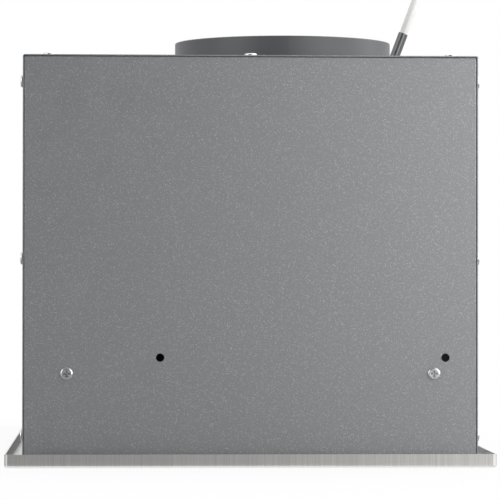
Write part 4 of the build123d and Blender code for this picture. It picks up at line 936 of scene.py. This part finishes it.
def floor_material():
    """Matt pale sweep: near the hood it takes a faint shadow, farther out it is plain white.

    It is one-sided: from below it is clear, so that the hood's underside can be looked at.
    Reflections see it white only close to the hood's foot, where they look straight down.
    """
    material, tree, output = blank_material("matt_pale_sweep")
    path = node(tree, "LightPath")
    place = node(tree, "TexCoord").outputs["Object"]
    distance = node(tree, "VectorMath", None, {0: place}, operation="LENGTH")
    plain = node(
        tree, "MapRange",
        {"From Min": PLAIN_NEAR, "From Max": PLAIN_FAR, "To Min": PLAIN_SHARE, "To Max": 1.0},
        {"Value": distance.outputs["Value"]}, interpolation_type="SMOOTHSTEP",
    )
    seen = both(tree, path.outputs["Is Camera Ray"], plain.outputs["Result"])
    folded = node(tree, "VectorMath", None, {0: place}, operation="ABSOLUTE")
    beyond = node(
        tree, "VectorMath", {1: (*FOOT_HALF, 0)}, {0: folded.outputs["Vector"]},
        operation="SUBTRACT",
    )
    off_foot = node(tree, "SeparateXYZ", None, {"Vector": beyond.outputs["Vector"]})
    near = node(
        tree, "MapRange", {"From Max": MIRROR_REACH, "To Min": 1.0, "To Max": 0.0},
        {"Value": both(tree, off_foot.outputs["X"], off_foot.outputs["Y"], operation="MAXIMUM")},
    )
    mirrored = both(tree, path.outputs["Is Glossy Ray"], near.outputs["Result"])
    shade_seen = node(
        tree, "MixRGB", {"Color1": linear("#a0a0a0"), "Color2": linear("#e6e6e6")},
        {"Fac": path.outputs["Is Camera Ray"]},
    )
    matt = node(tree, "BsdfDiffuse", None, {"Color": shade_seen.outputs["Color"]})
    white = node(tree, "Emission", {"Color": (1, 1, 1, 1), "Strength": 1.0})
    mixed = node(
        tree, "MixShader", None,
        {
            0: both(tree, seen, mirrored, operation="MAXIMUM"),
            1: matt.outputs["BSDF"], 2: white.outputs["Emission"],
        },
    )
    behind = node(tree, "NewGeometry").outputs["Backfacing"]
    clear = node(tree, "BsdfTransparent", {"Color": (1, 1, 1, 1)})
    sided = node(
        tree, "MixShader", None,
        {0: behind, 1: mixed.outputs["Shader"], 2: clear.outputs["BSDF"]},
    )
    tree.links.new(sided.outputs["Shader"], output.inputs["Surface"])
    return material


class HOOD_OT_studio(bpy.types.Operator):
    """White sweep, soft lamps, and surroundings that are white behind and above the hood"""

    bl_idname = "hood.studio"
    bl_label = "Studio"

    def execute(self, context):
        studio = context.scene.hood_studio
        # The floor is open inside the tray's foot, so that light from below gets in
        corners = [(-1, -1), (1, -1), (1, 1), (-1, 1)]
        mesh = bpy.data.meshes.new("studio_floor")
        mesh.from_pydata(
            [(FLOOR_HALF * x, FLOOR_HALF * y, 0) for x, y in corners]
            + [(OPENING_HALF[0] * x, OPENING_HALF[1] * y, 0) for x, y in corners],
            [], [(0, 1, 5, 4), (1, 2, 6, 5), (2, 3, 7, 6), (3, 0, 4, 7)],
        )
        floor = bpy.data.objects.new("studio_floor", mesh)
        context.scene.collection.objects.link(floor)
        mesh.materials.append(floor_material())
        for name, place, target, size, power in (
            ("side_lamp", (1.79, 1.08, 0.3), NEAR_END, 1.5, studio.side_power),
            ("front_lamp", (1.15, -1.57, 0.71), NEAR_END, 1.5, studio.front_power),
            ("wall_lamp", (0.4, 1.9, 0.8), MIDDLE, 2.6, studio.wall_power),
            ("back_lamp", (-0.9, 0.6, 1.6), MIDDLE, 2.2, studio.back_power),
            ("under_lamp", (0.1, -0.4, -1.8), (0, 0, 0), 2.8, studio.under_power),
        ):
            area_lamp(context, name, place, target, size, power)
        world = bpy.data.worlds.new("studio_world")
        world.use_nodes = True
        context.scene.world = world
        tree = world.node_tree
        tree.nodes.clear()
        direction = node(tree, "TexCoord").outputs["Generated"]
        toward = node(
            tree, "VectorMath", {1: COVE_SIDE}, {0: direction}, operation="DOT_PRODUCT"
        )
        around = node(
            tree, "MapRange",
            {
                "From Min": COVE_FADE[0], "From Max": COVE_FADE[1],
                "To Min": studio.room, "To Max": studio.backdrop,
            },
            {"Value": toward.outputs["Value"]}, interpolation_type="SMOOTHSTEP",
        )
        path = node(tree, "LightPath")
        seen = both(
            tree, path.outputs["Is Camera Ray"], path.outputs["Is Transmission Ray"],
            operation="MAXIMUM",
        )
        level = both(tree, seen, around.outputs["Result"], operation="MAXIMUM")
        background = node(tree, "Background", {"Color": (1, 1, 1, 1)}, {"Strength": level})
        node(tree, "OutputWorld", None, {"Surface": background.outputs["Background"]})
        context.scene.view_settings.view_transform = "Standard"
        return {"FINISHED"}


class HOOD_PT_panel(bpy.types.Panel):
    """Sidebar panel that lists the hood's operators and settings"""

    bl_idname = "HOOD_PT_panel"
    bl_label = "Range hood"
    bl_space_type = "VIEW_3D"
    bl_region_type = "UI"
    bl_category = "Hood"

    def draw(self, context):
        for operator in OPERATORS:
            self.layout.operator(operator.bl_idname)
        for group_name in GROUPS:
            group = getattr(context.scene, group_name)
            box = self.layout.box()
            for name in group.__annotations__:
                box.prop(group, name)


OPERATORS = (
    HOOD_OT_camera,
    HOOD_OT_lead,
    HOOD_OT_case,
    HOOD_OT_tray,
    HOOD_OT_collar,
    HOOD_OT_fan,
    HOOD_OT_controls,
    HOOD_OT_filters,
    HOOD_OT_studio,
)
GROUPS = {"hood_finishes": HoodFinishes, "hood_mesh": HoodMesh, "hood_studio": HoodStudio}
CLASSES = (*GROUPS.values(), *OPERATORS, HOOD_PT_panel)


def register():
    """Register the classes and the scene's settings."""
    for cls in CLASSES:
        bpy.utils.register_class(cls)
    for name, group in GROUPS.items():
        setattr(bpy.types.Scene, name, bpy.props.PointerProperty(type=group))


def unregister():
    """Remove what register added."""
    for name in GROUPS:
        delattr(bpy.types.Scene, name)
    for cls in reversed(CLASSES):
        bpy.utils.unregister_class(cls)


def main():
    """Build every piece and the stage."""
    register()
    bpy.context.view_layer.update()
    for operator in OPERATORS:
        group, name = operator.bl_idname.split(".")
        getattr(getattr(bpy.ops, group), name)()


if __name__ == "__main__":
    main()
